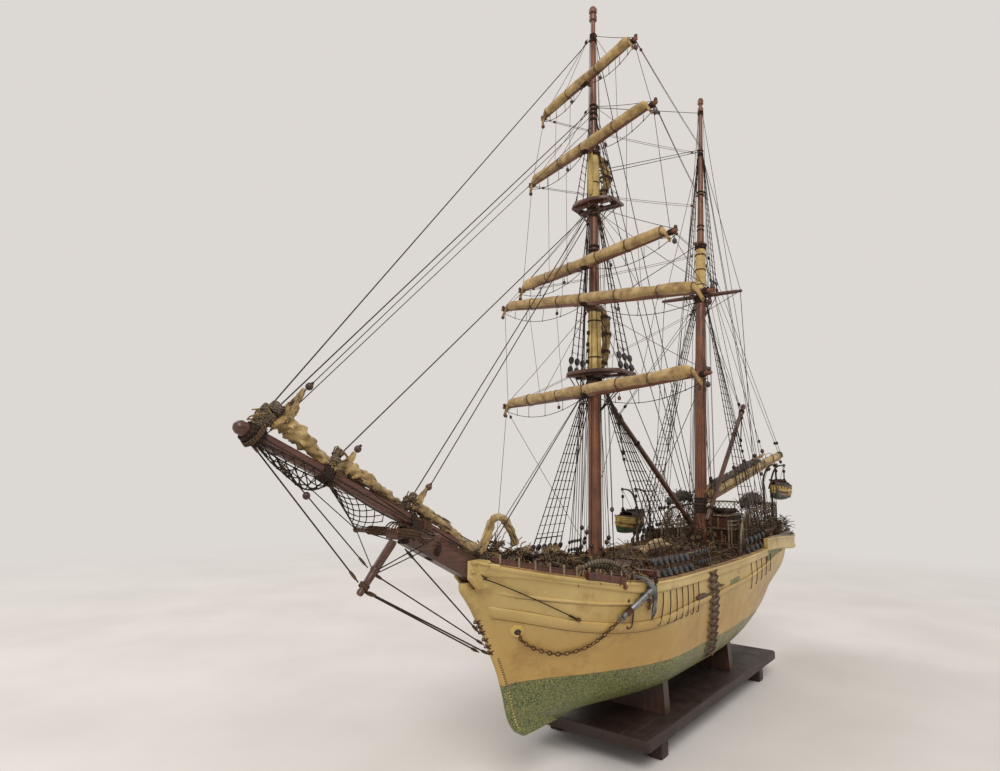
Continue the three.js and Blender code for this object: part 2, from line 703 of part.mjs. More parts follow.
add("lifeboat_starboard", lifeboat(BOATS.starboard), COLOUR.yellow, 0.5);
add("davits_port", davits(BOATS.port), COLOUR.rope, 0.6);
add("davits_starboard", davits(BOATS.starboard), COLOUR.rope, 0.6);
add("fore_shrouds", shrouds(foreAt(FORE.top - 12), 8, FORE_FEET), COLOUR.rope, 0.9);
add("main_shrouds", shrouds(mainAt(MAIN.tree - 12), 9.2, MAIN_FEET), COLOUR.rope, 0.9);
add("outer_head_stays", headStays(0.94, [[-211, 0, 905], [-212, 0, 804]]), COLOUR.rope, 0.9);
add("inner_head_stays", headStays(INNER_STAY.share, [INNER_STAY.top]), COLOUR.rope, 0.9);
add("martingale_stays", martingale(), COLOUR.rope, 0.9);
add("furled_headsails", furledHeadsails(), COLOUR.tan, 0.9);

ship.position.x = -MIDDLE;
const model = new THREE.Group();
model.add(ship);

export default model;
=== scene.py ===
"""A two-masted brigantine, an old wooden display model on its board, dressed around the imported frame.

Places are millimetres in the ship's own frame: +X aft, +Y to starboard, +Z up, X = 0 at the middle of
the base board and Z = 0 under its feet. place() turns them into the frame's metres.
"""

import random
from itertools import product
from math import copysign, cos, exp, hypot, pi, radians, sin, sqrt, tau

import bmesh
import bpy
from mathutils import Matrix, Vector, noise


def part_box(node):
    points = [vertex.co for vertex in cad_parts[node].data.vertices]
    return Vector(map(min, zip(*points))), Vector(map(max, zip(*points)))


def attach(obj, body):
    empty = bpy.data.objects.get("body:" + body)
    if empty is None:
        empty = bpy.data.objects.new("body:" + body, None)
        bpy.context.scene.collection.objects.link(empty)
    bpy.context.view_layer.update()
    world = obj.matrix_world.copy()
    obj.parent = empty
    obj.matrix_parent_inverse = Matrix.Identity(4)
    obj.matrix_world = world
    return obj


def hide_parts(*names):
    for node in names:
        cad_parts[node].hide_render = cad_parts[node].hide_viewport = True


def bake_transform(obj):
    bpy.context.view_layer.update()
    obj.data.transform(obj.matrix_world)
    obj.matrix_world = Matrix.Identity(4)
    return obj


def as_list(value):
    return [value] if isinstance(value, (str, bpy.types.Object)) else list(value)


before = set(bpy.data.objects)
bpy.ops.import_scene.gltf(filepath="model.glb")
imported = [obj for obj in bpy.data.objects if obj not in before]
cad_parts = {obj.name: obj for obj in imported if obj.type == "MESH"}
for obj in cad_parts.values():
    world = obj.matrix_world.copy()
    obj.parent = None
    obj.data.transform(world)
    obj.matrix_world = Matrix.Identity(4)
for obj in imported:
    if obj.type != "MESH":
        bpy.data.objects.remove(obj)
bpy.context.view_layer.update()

MM = 0.001
board_low, board_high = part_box("base_board")
MIDDLE = (board_low.x + board_high.x) / 2

PORT, STARBOARD = -1, 1
SIDES = {PORT: "port", STARBOARD: "starboard"}


def place(p):
    """A place in the ship's millimetres as a vector in the frame's metres."""
    return Vector((MIDDLE + p[0] * MM, p[1] * MM, p[2] * MM))


# ---------------------------------------------------------------- the ship's measures

KEEL_LOW = 59
BOW = {"rail": -442, "flat": -165, "rise": 32}
STERN = {"rail": 445, "post": 372, "poop": 160}
BULWARK = 23
POOP_DECK = 204
BAND = {"top": 221.4, "low": 200.4}
FORE = {"x": -205.5, "rake": 0.0058, "cap": 528, "top": 444, "trees": 668, "heads": 745, "truck": 950}
MAIN = {"x": 139, "rake": 0.079, "cap": 728, "trees": 629, "truck": 1017}
YARD_X = -224
BRACED = radians(-20)
YARDS = {
    "course": {"z": 413.5, "half": 191, "thick": 4.6, "lift": 0.6},
    "lower_topsail": {"z": 529.5, "half": 201, "thick": 4.6, "lift": -9.2},
    "upper_topsail": {"z": 577, "half": 152, "thick": 4.2, "lift": -0.7},
    "topgallant": {"z": 733, "half": 127, "thick": 3.8, "lift": 1.1},
    "royal": {"z": 827, "half": 97, "thick": 3.3, "lift": 3.5},
}
BOWSPRIT_END = (-525, 0, 260.3)
JIBBOOM = {"heel": (-462, 0, 249.3), "end": (-684, 0, 343.2)}
STRIKER = {"top": (-538, 0, 257), "end": (-572, 0, 219)}
SPREADER = {"x": -536.5, "half": 50}
BOOM = {"x": 144.5, "z": 268, "length": 300, "swing": 12, "rise": 17.5}
DERRICKS = {
    "fore": {"heel": (112, 4, 240), "end": (-120, 20, 407)},
    "aft": {"heel": (122, -18, 246), "end": (270, -37, 444)},
}
BOATS = {
    PORT: {"x": 300, "y": -86, "top": 303, "head": 338, "foot": -64, "base": 209},
    STARBOARD: {"x": 112, "y": 112, "top": 258, "head": 293, "foot": 87, "base": 188},
}
BOAT = {"length": 96, "width": 30, "depth": 29, "davits": 25}
FORE_FEET = {PORT: (-238, -222, -206, -190, -174, -158, -141),
             STARBOARD: (-208, -194, -180, -166, -152, -138)}
MAIN_FEET = {PORT: (72, 94, 116, 137, 158), STARBOARD: (88, 106, 124, 140, 156)}


def mix(a, b, t):
    return a + (b - a) * t


def clamp(v, low=0.0, high=1.0):
    return max(low, min(high, v))


def smooth(v, low, high):
    """0 below low, 1 above high, and an eased step between them."""
    t = clamp((v - low) / (high - low))
    return t * t * (3 - 2 * t)


def rail_height(x):
    """The bulwarks' top: flat amidships, rising to the bow and a little aft."""
    ahead = max(0.0, (BOW["flat"] - x) / (BOW["flat"] - BOW["rail"]))
    abaft = max(0.0, (x + 50) / 210)
    return 200 + BOW["rise"] * ahead**2.2 + 6 * abaft**2


def deck_height(x):
    """The main deck under the bulwarks."""
    return rail_height(x) - BULWARK


def stem_x(z):
    """The hull's fore end at a height."""
    low = smooth(z, 56, 86)
    rake = max(0.0, z - 86)
    return -345 - 30 * sqrt(low) - 67 * (rake / 146) ** 1.15


def stern_x(z):
    """The hull's after end at a height: the sternpost, then the counter over it."""
    return mix(STERN["post"], STERN["rail"], smooth(z, 132, 194) ** 0.9)


def half_breadth(x, z):
    """The hull's half width: a round bilge, fine ends, and the tuck under the poop."""
    bilge = clamp((z - KEEL_LOW) / 52)
    most = 88 * sqrt(1 - (1 - bilge) ** 2.2) + 12 * smooth(z, 85, 178)
    up = clamp((z - 110) / 115)
    down = clamp((110 - z) / 54)
    fore = clamp((x - stem_x(z)) / mix(222, 195, up))
    aft = clamp((stern_x(z) - x) / mix(410, 300, up))
    entry = sin(fore * pi / 2) ** (mix(1.2, 0.6, up) + 0.7 * down)
    run = sin(aft * pi / 2) ** (mix(0.5, 0.14, up**0.7) + 0.7 * down)
    tuck = 1 - 0.32 * smooth(z, 150, 190) * (1 - smooth(z, 194, 203)) * smooth(x, 280, 390)
    return most * entry * run * tuck


def skin(x, z, side, off=0.0):
    """A point off the hull's side, square to it."""
    here = half_breadth(x, z)
    square = Vector((here - half_breadth(x + 1, z), 1, here - half_breadth(x, z + 1)))
    square = square.normalized() * off
    return Vector((x + square.x, side * (here + square.y), z + square.z))


def fore_at(z, x=0.0, y=0.0):
    """A place x abaft and y to starboard of the foremast's centre at a height."""
    return Vector((FORE["x"] + (z - 200) * FORE["rake"] + x, y, z))


def main_at(z, x=0.0, y=0.0):
    """A place x abaft and y to starboard of the mainmast's centre at a height."""
    return Vector((MAIN["x"] + (z - 200) * MAIN["rake"] + x, y, z))


def on_jib(share, up=0.0, y=0.0):
    """A place at a share of the jibboom's length."""
    spot = Vector(JIBBOOM["heel"]).lerp(Vector(JIBBOOM["end"]), share)
    return spot + Vector((0, y, up))


# ---------------------------------------------------------------- mesh making

def carried(path):
    """Walks a path with a frame that doesn't twist: index, point, side, up and the length run so far."""
    side, run = None, 0.0
    for i, p in enumerate(path):
        ahead = (path[min(i + 1, len(path) - 1)] - path[max(i - 1, 0)]).normalized()
        side = ahead.orthogonal() if side is None else side - ahead * side.dot(ahead)
        side.normalize()
        run += (p - path[i - 1]).length if i else 0.0
        yield i, p, side, ahead.cross(side), run


class Form:
    """A mesh in the making, in ship millimetres. Each face carries the index of its material.

    Each point also carries (length run along its rope, cos, sin of its turn round it), which the
    twist of the strands is painted by.
    """

    def __init__(self):
        self.points, self.faces, self.marks, self.lay = [], [], [], []

    def add(self, points, faces, mark=0, lay=None):
        base = len(self.points)
        self.points.extend(points)
        self.faces.extend([base + i for i in face] for face in faces)
        self.marks.extend([mark] * len(faces))
        self.lay.extend(lay or [(0.0, 1.0, 0.0)] * len(points))

    def grid(self, rows, mark=0, closed=False, caps=False, lay=None):
        wide = len(rows[0])
        points = [p for row in rows for p in row]
        faces = []
        for i in range(len(rows) - 1):
            for k in range(wide if closed else wide - 1):
                n = (k + 1) % wide
                faces.append([i * wide + k, i * wide + n, (i + 1) * wide + n, (i + 1) * wide + k])
        if caps:
            faces.append(list(range(wide))[::-1])
            faces.append([(len(rows) - 1) * wide + k for k in range(wide)])
        self.add(points, faces, mark, lay)

    def tube(self, path, radius, sides=6, mark=0, shape=None):
        """A round bar along a path; shape(run, turn) may swell its radius."""
        path = [Vector(p) for p in path]
        radii = list(radius) if isinstance(radius, (list, tuple)) else [radius] * len(path)
        rows, lay = [], []
        for i, p, side, up, run in carried(path):
            row = []
            for k in range(sides):
                turn = tau * k / sides
                r = radii[i] * (shape(run, turn) if shape else 1.0)
                row.append(p + (side * cos(turn) + up * sin(turn)) * r)
                lay.append((run, cos(turn), sin(turn)))
            rows.append(row)
        self.grid(rows, mark, closed=True, caps=True, lay=lay)

    def lathe(self, a, b, profile, sides=24, mark=0):
        """A turned bar from a to b; profile lists (share of the length, radius)."""
        a, b = Vector(a), Vector(b)
        ahead = (b - a).normalized()
        side = ahead.orthogonal().normalized()
        up = ahead.cross(side)
        rows, lay = [], []
        for share, radius in profile:
            turns = [tau * k / sides for k in range(sides)]
            middle = a.lerp(b, share)
            rows.append([middle + (side * cos(t) + up * sin(t)) * radius for t in turns])
            lay += [((b - a).length * share, cos(t), sin(t)) for t in turns]
        self.grid(rows, mark, closed=True, caps=True, lay=lay)

    def ball(self, centre, radius, mark=0, axis=(0, 0, 1), long=1.0, sides=8, rings=5):
        axis = Vector(axis).normalized() * radius * long
        turns = [pi * (i + 0.35) / (rings - 0.3) for i in range(rings)]
        profile = [(0.5 - 0.5 * cos(t), radius * sin(t)) for t in turns]
        self.lathe(Vector(centre) - axis, Vector(centre) + axis, profile, sides, mark)

    def hoop(self, centre, axis, big, small, mark=0, around=14, sides=5, oval=1.0, along=None):
        """A ring; oval stretches it along the direction given."""
        axis = Vector(axis).normalized()
        side = Vector(along).normalized() if along else axis.orthogonal().normalized()
        up = axis.cross(side)
        rows, lay = [], []
        for i in range(around):
            t = tau * i / around
            out = side * cos(t) + up * sin(t)
            at = Vector(centre) + side * cos(t) * big * oval + up * sin(t) * big
            turns = [tau * k / sides for k in range(sides)]
            rows.append([at + (out * cos(u) + axis * sin(u)) * small for u in turns])
            lay += [(big * t, cos(u), sin(u)) for u in turns]
        rows.append(rows[0])
        faces = []
        for i in range(around):
            here, there = i * sides, (i + 1) % around * sides
            for k in range(sides):
                after = (k + 1) % sides
                faces.append([here + k, here + after, there + after, there + k])
        self.add([p for row in rows[:-1] for p in row], faces, mark, lay)

    def planed(self, low, high, edge=0.5, mark=0):
        """A box with its edges planed off."""
        low, high = Vector(low), Vector(high)
        middle, half = (low + high) / 2, (high - low) / 2
        edge = min(edge, min(half) * 0.8)
        index, points = {}, []
        for s in product((-1, 1), repeat=3):
            for axis in range(3):
                p = Vector([s[k] * (half[k] - (0 if k == axis else edge)) for k in range(3)])
                index[s, axis] = len(points)
                points.append(middle + p)
        faces = [[index[s, axis] for axis in range(3)] for s in product((-1, 1), repeat=3)]
        for axis in range(3):
            u, v = (axis + 1) % 3, (axis + 2) % 3

            def key(d, a, b):
                s = [0, 0, 0]
                s[axis], s[u], s[v] = d, a, b
                return tuple(s)

            ring = ((-1, -1), (1, -1), (1, 1), (-1, 1))
            for d in (-1, 1):
                faces.append([index[key(d, a, b), axis] for a, b in ring])
            for a, b in ring:
                faces.append([index[key(-1, a, b), u], index[key(1, a, b), u],
                              index[key(1, a, b), v], index[key(-1, a, b), v]])
        self.add(points, faces, mark)

    def line(self, a, b, radius, sag=0.0, mark=0):
        """A rope from a to b that hangs by sag at its middle."""
        a, b = Vector(a), Vector(b)
        steps = 10 if sag else 1
        path = [a.lerp(b, i / steps) - Vector((0, 0, sag * 4 * (i / steps) * (1 - i / steps)))
                for i in range(steps + 1)]
        self.tube(path, radius, 6, mark)


def curve(points, steps=6):
    """A Catmull-Rom line through points."""
    points = [Vector(p) for p in points]
    ends = [2 * points[0] - points[1], *points, 2 * points[-1] - points[-2]]
    out = []
    for i in range(1, len(ends) - 2):
        p0, p1, p2, p3 = ends[i - 1:i + 3]
        for k in range(steps):
            t = k / steps
            out.append(0.5 * (2 * p1 + (p2 - p0) * t + (2 * p0 - 5 * p1 + 4 * p2 - p3) * t * t
                              + (3 * p1 - p0 - 3 * p2 + p3) * t**3))
    return out + [points[-1]]


def piece(name, form, materials, body="ship", angle=40, cross=None, stands_for=(), thick=None, offset=-1):
    """Makes the object and rides it on its body, or, where cross = (body, start, end on the ship) is given,
    leaves it standing in place on no body.

    thick gives a thin skin its thickness in millimetres: inwards, or both ways where offset is 0.
    """
    materials = materials if isinstance(materials, (list, tuple)) else [materials]
    mesh = bpy.data.meshes.new(name)
    mesh.from_pydata([place(p) for p in form.points], [], form.faces)
    lay = mesh.attributes.new("lay", "FLOAT_VECTOR", "POINT")
    lay.data.foreach_set("vector", [c for v in form.lay for c in v])
    mesh.polygons.foreach_set("material_index", form.marks)
    edit = bmesh.new()
    edit.from_mesh(mesh)
    bmesh.ops.recalc_face_normals(edit, faces=edit.faces)
    edit.to_mesh(mesh)
    edit.free()
    mesh.polygons.foreach_set("use_smooth", [True] * len(mesh.polygons))
    mesh.set_sharp_from_angle(angle=radians(angle))
    for m in materials:
        mesh.materials.append(m)
    made = bpy.data.objects.new(name, mesh)
    bpy.context.scene.collection.objects.link(made)
    if thick:
        shell = made.modifiers.new("thickness", "SOLIDIFY")
        shell.thickness = thick * MM
        shell.offset = offset
    if cross:
        place(cross[1])
        place(cross[2])
        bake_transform(made)
    else:
        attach(made, body)
    if stands_for:
        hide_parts(*stands_for)
    return made


# ---------------------------------------------------------------- materials

def tint(r, g, b):
    """A screen colour as linear light."""
    return (*(((c / 255 + 0.055) / 1.055) ** 2.4 for c in (r, g, b)), 1.0)


class Paint:
    """A principled material whose nodes are added in short calls."""

    def __init__(self, name, slot, rough, metal=0.0, coat=0.0, sheen=0.0, gloss=0.5):
        self.made = bpy.data.materials.new(name)
        self.made.use_nodes = True
        self.made["slot"] = slot
        self.tree = self.made.node_tree
        self.shader = self.tree.nodes["Principled BSDF"]
        settings = {"Roughness": rough, "Metallic": metal, "Coat Weight": coat, "Coat Roughness": 0.25,
                    "Sheen Weight": sheen, "Specular IOR Level": gloss}
        for key, value in settings.items():
            self.shader.inputs[key].default_value = value
        self.coords = self.node("TexCoord").outputs["Object"]

    def node(self, kind, links=(), **values):
        made = self.tree.nodes.new("ShaderNode" + kind)
        for key, value in values.items():
            if hasattr(made, key):
                setattr(made, key, value)
            else:
                made.inputs[key.replace("_", " ")].default_value = value
        for socket, source in dict(links).items():
            self.tree.links.new(source, made.inputs[socket])
        return made

    def feed(self, socket, value):
        """Gives an input a number, a screen colour or another node's output."""
        if isinstance(value, tuple):
            socket.default_value = tint(*value)
        elif isinstance(value, (int, float)):
            socket.default_value = value
        else:
            self.tree.links.new(value, socket)

    def stretched(self, stretch):
        made = self.node("Mapping", {"Vector": self.coords})
        made.inputs["Scale"].default_value = stretch
        return made.outputs["Vector"]

    def noise(self, scale, detail=4.0, rough=0.6, stretch=None):
        where = self.stretched(stretch) if stretch else self.coords
        made = self.node("TexNoise", {"Vector": where}, Scale=scale, Detail=detail, Roughness=rough)
        return made.outputs["Fac"]

    def cells(self, scale, feature="F1", jitter=1.0, where=None):
        made = self.node("TexVoronoi", {"Vector": where or self.coords}, feature=feature)
        made.inputs["Scale"].default_value = scale
        made.inputs["Randomness"].default_value = jitter
        return made.outputs["Distance"]

    def ramp(self, fac, *stops):
        """Colours or numbers at shares of fac."""
        made = self.node("ValToRGB", {"Fac": fac})
        band = made.color_ramp
        while len(band.elements) < len(stops):
            band.elements.new(0.5)
        for element, (at, value) in zip(band.elements, stops):
            element.position = at
            element.color = tint(*value) if isinstance(value, tuple) else (value, value, value, 1)
        return made.outputs["Color"]

    def blend(self, fac, a, b):
        """Colour a, going over to colour b as fac goes from 0 to 1."""
        made = self.node("Mix", data_type="RGBA")
        for at, value in ((0, fac), (6, a), (7, b)):
            self.feed(made.inputs[at], value)
        return made.outputs[2]

    def math(self, kind, a, b=0.0, c=0.0):
        made = self.node("Math", operation=kind)
        for socket, value in zip(made.inputs, (a, b, c)):
            self.feed(socket, value)
        return made.outputs[0]

    def plus(self, a, b):
        return self.math("ADD", a, b)

    def times(self, a, b):
        return self.math("MULTIPLY", a, b)

    def span(self, value, low, high):
        """How far value is from low to high, as 0 to 1."""
        made = self.node("MapRange", {"Value": value})
        made.inputs["From Min"].default_value = low
        made.inputs["From Max"].default_value = high
        return made.outputs[0]

    def parts(self):
        """The place's own x, y and z."""
        made = self.node("SeparateXYZ", {"Vector": self.coords})
        return [made.outputs[k] for k in "XYZ"]

    def finish(self, colour, height=None, strength=0.3, depth=0.0005, rough=None):
        self.tree.links.new(colour, self.shader.inputs["Base Color"])
        if rough is not None:
            self.tree.links.new(rough, self.shader.inputs["Roughness"])
        if height is not None:
            bump = self.node("Bump", {"Height": height}, Strength=strength, Distance=depth)
            self.tree.links.new(bump.outputs["Normal"], self.shader.inputs["Normal"])
        return self.made


def wood(name, slot, dark, plain, light, grain, rough=0.42, coat=0.15, worn=None):
    """Varnished wood whose grain runs along the axis where grain is small; worn is a paler rubbed colour."""
    p = Paint(name, slot, rough, coat=coat)
    streak = p.noise(1.0, 5, 0.65, stretch=grain)
    patch = p.noise(38, 3, 0.6)
    colour = p.ramp(p.plus(p.times(streak, 0.6), p.times(patch, 0.4)),
                    (0.36, dark), (0.5, plain), (0.66, light))
    if worn:
        rub = p.ramp(p.noise(160, 5, 0.75), (0.63, 0.0), (0.7, 1.0))
        colour = p.blend(rub, colour, worn)
    gloss = p.ramp(patch, (0.3, rough - 0.1), (0.75, rough + 0.18))
    return p.finish(colour, streak, 0.35, 0.0006, gloss)


def along(axis, fine=620, slow=26):
    """Stretch of a grain that runs along an axis."""
    return tuple(slow if i == "XYZ".index(axis) else fine for i in range(3))


MAST_COLOURS = ((60, 29, 14), (102, 57, 29), (134, 79, 44))
SPAR_COLOURS = ((40, 20, 12), (72, 40, 25), (100, 60, 40))
BOOM_COLOURS = ((44, 21, 15), (80, 44, 31), (106, 66, 46))
mast_wood = wood("mast_varnish", "mast_wood", *MAST_COLOURS, along("Z"))
yard_wood = wood("yard_varnish", "spar_wood", *MAST_COLOURS, along("Y"))
spar_wood = wood("spar_varnish", "spar_wood", *SPAR_COLOURS, along("X"))
boom_wood = wood("boom_varnish", "spar_wood", *BOOM_COLOURS, along("X"))
post_wood = wood("dark_post", "spar_wood", *SPAR_COLOURS, along("Z"))
house_wood = wood("house_varnish", "house_wood", (38, 18, 12), (70, 34, 22), (98, 54, 34),
                  along("Z", 420, 30), worn=(118, 92, 66))
board_wood = wood("board_polish", "dark_board", (26, 13, 8), (40, 23, 16), (58, 38, 28),
                  along("X", 380, 16), 0.58, 0.06)
cradle_wood = wood("cradle_polish", "dark_board", (34, 18, 11), (54, 31, 21), (76, 48, 34),
                   along("Z", 300, 20), 0.45, 0.2)
trim_wood = wood("pale_trim", "house_wood", (84, 70, 52), (122, 106, 82), (156, 140, 112),
                 along("X", 500, 40), 0.6, 0.0, worn=(92, 66, 46))


def mix_stains(p, colour, scale, low, high, stain):
    """Stains the colour wherever a noise of that scale is over low."""
    return p.blend(p.ramp(p.noise(scale, 5, 0.7), (low, 0.0), (high, 1.0)), colour, stain)


def hull_paint():
    """Old ochre paint, painted paler towards the rail as light from above, over crackled green, parted at the
    waterline, with chips, drips and dark specks.
    """
    p = Paint("hull_paint", "hull_paint", 0.42, coat=0.12)
    x, _, z = p.parts()
    broad = p.noise(9, 3, 0.55)
    # Painted light: the ochre goes from the darker low colours by the wale to the paler high colours towards
    # the rail, as light from above falls on the upper side.
    low = p.ramp(broad, (0.3, (162, 128, 66)), (0.52, (176, 142, 77)), (0.72, (188, 155, 92)))
    high = p.ramp(broad, (0.3, (168, 143, 82)), (0.52, (183, 158, 98)), (0.72, (198, 175, 118)))
    ochre = p.blend(p.span(z, 0.135, 0.19), low, high)
    ochre = mix_stains(p, ochre, 30, 0.52, 0.72, (152, 117, 62))
    ochre = p.blend(p.ramp(p.noise(1.0, 4, 0.6, stretch=(260, 260, 22)), (0.6, 0.0), (0.8, 0.45)), ochre,
                    (150, 110, 54))
    ochre = mix_stains(p, ochre, 420, 0.66, 0.71, (98, 64, 34))
    chips = p.ramp(p.noise(95, 6, 0.75), (0.715, 0.0), (0.73, 1.0))
    ochre = p.blend(chips, ochre, (228, 214, 178))
    # The green is crackled all over, and its worn flakes are paler towards the stern.
    aft = p.span(x, -0.12, 0.32)
    warp = p.node("TexNoise", {"Vector": p.coords}, Scale=160.0, Detail=3.0)
    bent = p.node("MixRGB", {"Color1": p.coords, "Color2": warp.outputs["Color"]}, Fac=0.012)
    crack = p.cells(330, "DISTANCE_TO_EDGE", 1.0, bent.outputs[0])
    split = p.ramp(crack, (0.03, 1.0), (0.17, 0.0))
    fleck = p.ramp(p.noise(560, 4, 0.7), (0.5, 0.0), (0.62, 1.0))
    deep = p.ramp(p.noise(26, 3, 0.6), (0.34, (42, 58, 30)), (0.6, (64, 76, 40)))
    flake = p.blend(aft, (138, 138, 80), (172, 156, 92))
    worn = p.times(fleck, p.ramp(p.noise(44, 3, 0.6), (0.36, 0.25), (0.7, 0.95)))
    green = p.blend(p.math("MAXIMUM", worn, p.times(split, 0.92)), deep, flake)
    green = p.blend(p.ramp(p.noise(700, 3, 0.6), (0.54, 0.0), (0.66, 0.85)), green, (34, 38, 22))
    green = p.blend(p.ramp(p.noise(120, 5, 0.75), (0.70, 0.0), (0.72, 1.0)), green, (214, 206, 172))
    # The waterline wavers a little, as a hand-cut edge does.
    lift = p.times(p.math("SUBTRACT", p.noise(30, 2, 0.5), 0.5), 0.0016)
    line = p.plus(0.1105, lift)
    under = p.math("LESS_THAN", z, line)
    edge = p.math("COMPARE", z, line, 0.0005)
    colour = p.blend(under, ochre, green)
    colour = p.blend(p.times(edge, 0.5), colour, (70, 66, 40))
    height = p.plus(p.times(p.times(under, p.math("SUBTRACT", 1.0, split)), 0.5),
                    p.times(p.noise(70, 4, 0.6), 0.5))
    gloss = p.ramp(p.noise(34, 4, 0.65), (0.3, 0.34), (0.75, 0.62))
    return p.finish(colour, height, 0.3, 0.0006, gloss)


def old_paint(name, slot, dark, plain, light, stain, rough=0.55, scale=55):
    """Hand-brushed paint with a few dark stains."""
    p = Paint(name, slot, rough)
    colour = p.ramp(p.noise(scale, 4, 0.65), (0.35, dark), (0.52, plain), (0.68, light))
    colour = mix_stains(p, colour, 210, 0.6, 0.72, stain)
    return p.finish(colour, p.noise(330, 3, 0.6), 0.25, 0.0004)


def sail_cloth(name, dark, plain, light, stain):
    """Tan cotton, woven, in paler and browner patches at random, with brown stains and painted shade between
    its threads.
    """
    p = Paint(name, "sailcloth", 0.86, sheen=0.25, gloss=0.2)
    colour = p.ramp(p.noise(75, 4, 0.62), (0.34, dark), (0.5, plain), (0.66, light))
    colour = mix_stains(p, colour, 26, 0.55, 0.74, stain)
    weave = [p.node("TexWave", {"Vector": p.coords}, bands_direction=axis, Scale=620.0, Distortion=1.2)
             for axis in "XYZ"]
    along_x, along_y, along_z = (wave.outputs["Fac"] for wave in weave)
    threads = p.plus(along_x, p.times(along_y, along_z))
    # Painted shade between the threads: the colour darkens towards the stain colour where the weave dips.
    colour = p.blend(p.ramp(threads, (0.2, 0.16), (1.2, 0.0)), colour, stain)
    creases = p.noise(150, 4, 0.7)
    return p.finish(colour, p.plus(p.times(threads, 0.25), creases), 0.55, 0.0012)


def rope_fibre(name, slot, dark, light, pitch):
    """Laid rope: its strands wind along the attribute that each rope's mesh carries, with painted light on
    their crowns and painted shade in the grooves between them.
    """
    p = Paint(name, slot, rough=0.85, gloss=0.25)
    lay = p.node("Attribute", attribute_name="lay")
    split = p.node("SeparateXYZ", {"Vector": lay.outputs["Vector"]})
    turn = p.times(split.outputs["X"], tau / pitch)
    strand = p.plus(p.times(p.math("SINE", turn), split.outputs["Y"]),
                    p.times(p.math("COSINE", turn), split.outputs["Z"]))
    half = p.math("MULTIPLY_ADD", strand, 0.5, 0.5)
    # The colour follows the strand wave: painted light on each strand's crown and painted shade in the groove
    # between strands, mixed with random tone from the noise.
    worn = p.plus(p.times(half, 0.55), p.times(p.noise(240, 4, 0.7), 0.5))
    colour = p.ramp(worn, (0.25, dark), (0.85, light))
    return p.finish(colour, half, 0.6, 0.0004)


def old_metal(name, slot, dark, plain, rust, metal, rough):
    """Cast or drawn metal with patches of rust."""
    p = Paint(name, slot, rough, metal=metal)
    colour = p.ramp(p.noise(90, 4, 0.65), (0.36, dark), (0.62, plain))
    colour = mix_stains(p, colour, 140, 0.56, 0.68, rust)
    gloss = p.ramp(p.noise(170, 4, 0.7), (0.3, rough - 0.12), (0.7, rough + 0.2))
    return p.finish(colour, p.noise(420, 4, 0.7), 0.4, 0.0004, gloss)


def planks(name, slot, dark, plain, light, seam, wide, long):
    """Laid deck planks with dark caulked seams."""
    p = Paint(name, slot, 0.6)
    brick = p.node("TexBrick", {"Vector": p.stretched((1, 1, 1))})
    settings = {"Scale": 1.0, "Mortar Size": 0.00045, "Mortar Smooth": 0.3, "Brick Width": long * MM,
                "Row Height": wide * MM, "Color1": plain, "Color2": light, "Mortar": seam}
    for key, value in settings.items():
        p.feed(brick.inputs[key], value)
    grain = p.noise(1.0, 5, 0.65, stretch=along("X", 520, 30))
    colour = p.blend(p.ramp(grain, (0.4, 0.0), (0.7, 0.6)), brick.outputs["Color"], dark)
    colour = mix_stains(p, colour, 60, 0.55, 0.75, dark)
    return p.finish(colour, brick.outputs["Fac"], 0.5, -0.0006)


hull_mat = hull_paint()
mast_paint = old_paint("masthead_paint", "mast_wood", (150, 122, 66), (178, 150, 88), (200, 176, 116),
                       (96, 66, 34))
boat_yellow = old_paint("boat_yellow", "boat_paint", (150, 122, 62), (184, 154, 84), (204, 178, 110),
                        (110, 80, 44))
boat_green = old_paint("boat_green", "boat_paint", (44, 60, 40), (64, 82, 54), (86, 102, 68),
                       (120, 112, 74))
panel_green = old_paint("panel_green", "hull_paint", (74, 84, 50), (98, 106, 66), (124, 126, 82),
                        (66, 62, 40))
hawse_paint = old_paint("hawse_paint", "hull_paint", (168, 140, 70), (190, 162, 92), (208, 182, 116),
                        (120, 92, 44))
# Brown for the strips in the moulding corners: painted shade mixed with old soiling.
grime_and_shade = old_paint("grime_and_shade", "hull_paint", (92, 66, 32), (122, 90, 46), (142, 108, 58), (66, 44, 24))
bunt_cloth = sail_cloth("bunt_sailcloth", (104, 83, 48), (166, 138, 88), (198, 172, 120),
                        (78, 52, 30))
tan_cloth = sail_cloth("tan_sailcloth", (132, 106, 64), (170, 140, 88), (194, 165, 112),
                       (112, 78, 42))
tarred = rope_fibre("tarred_rope", "rigging_cord", (22, 17, 15), (62, 46, 36), 3.2)
brown_line = rope_fibre("brown_line", "rigging_cord", (48, 34, 26), (104, 80, 58), 2.4)
hemp = rope_fibre("hemp_line", "rigging_cord", (78, 61, 42), (156, 130, 93), 2.4)
grey_rope = rope_fibre("grey_rope", "rigging_cord", (56, 48, 41), (122, 108, 90), 3.4)
block_wood = old_paint("block_stain", "rigging_cord", (34, 18, 12), (62, 36, 24), (92, 58, 40),
                       (24, 18, 14), 0.4, 120)
ladder_wood = old_paint("ladder_stain", "rigging_cord", (44, 28, 16), (76, 50, 30), (112, 80, 48),
                        (26, 16, 10), 0.6, 150)
twig = rope_fibre("straw_line", "rigging_cord", (72, 56, 36), (158, 132, 90), 1.8)
deadeye_wood = old_paint("deadeye_stain", "rigging_cord", (20, 18, 19), (40, 38, 41), (70, 67, 68),
                         (18, 14, 12), 0.45, 140)
iron = old_metal("anchor_iron", "anchor_iron", (70, 72, 72), (128, 130, 130), (92, 66, 50), 0.65, 0.42)
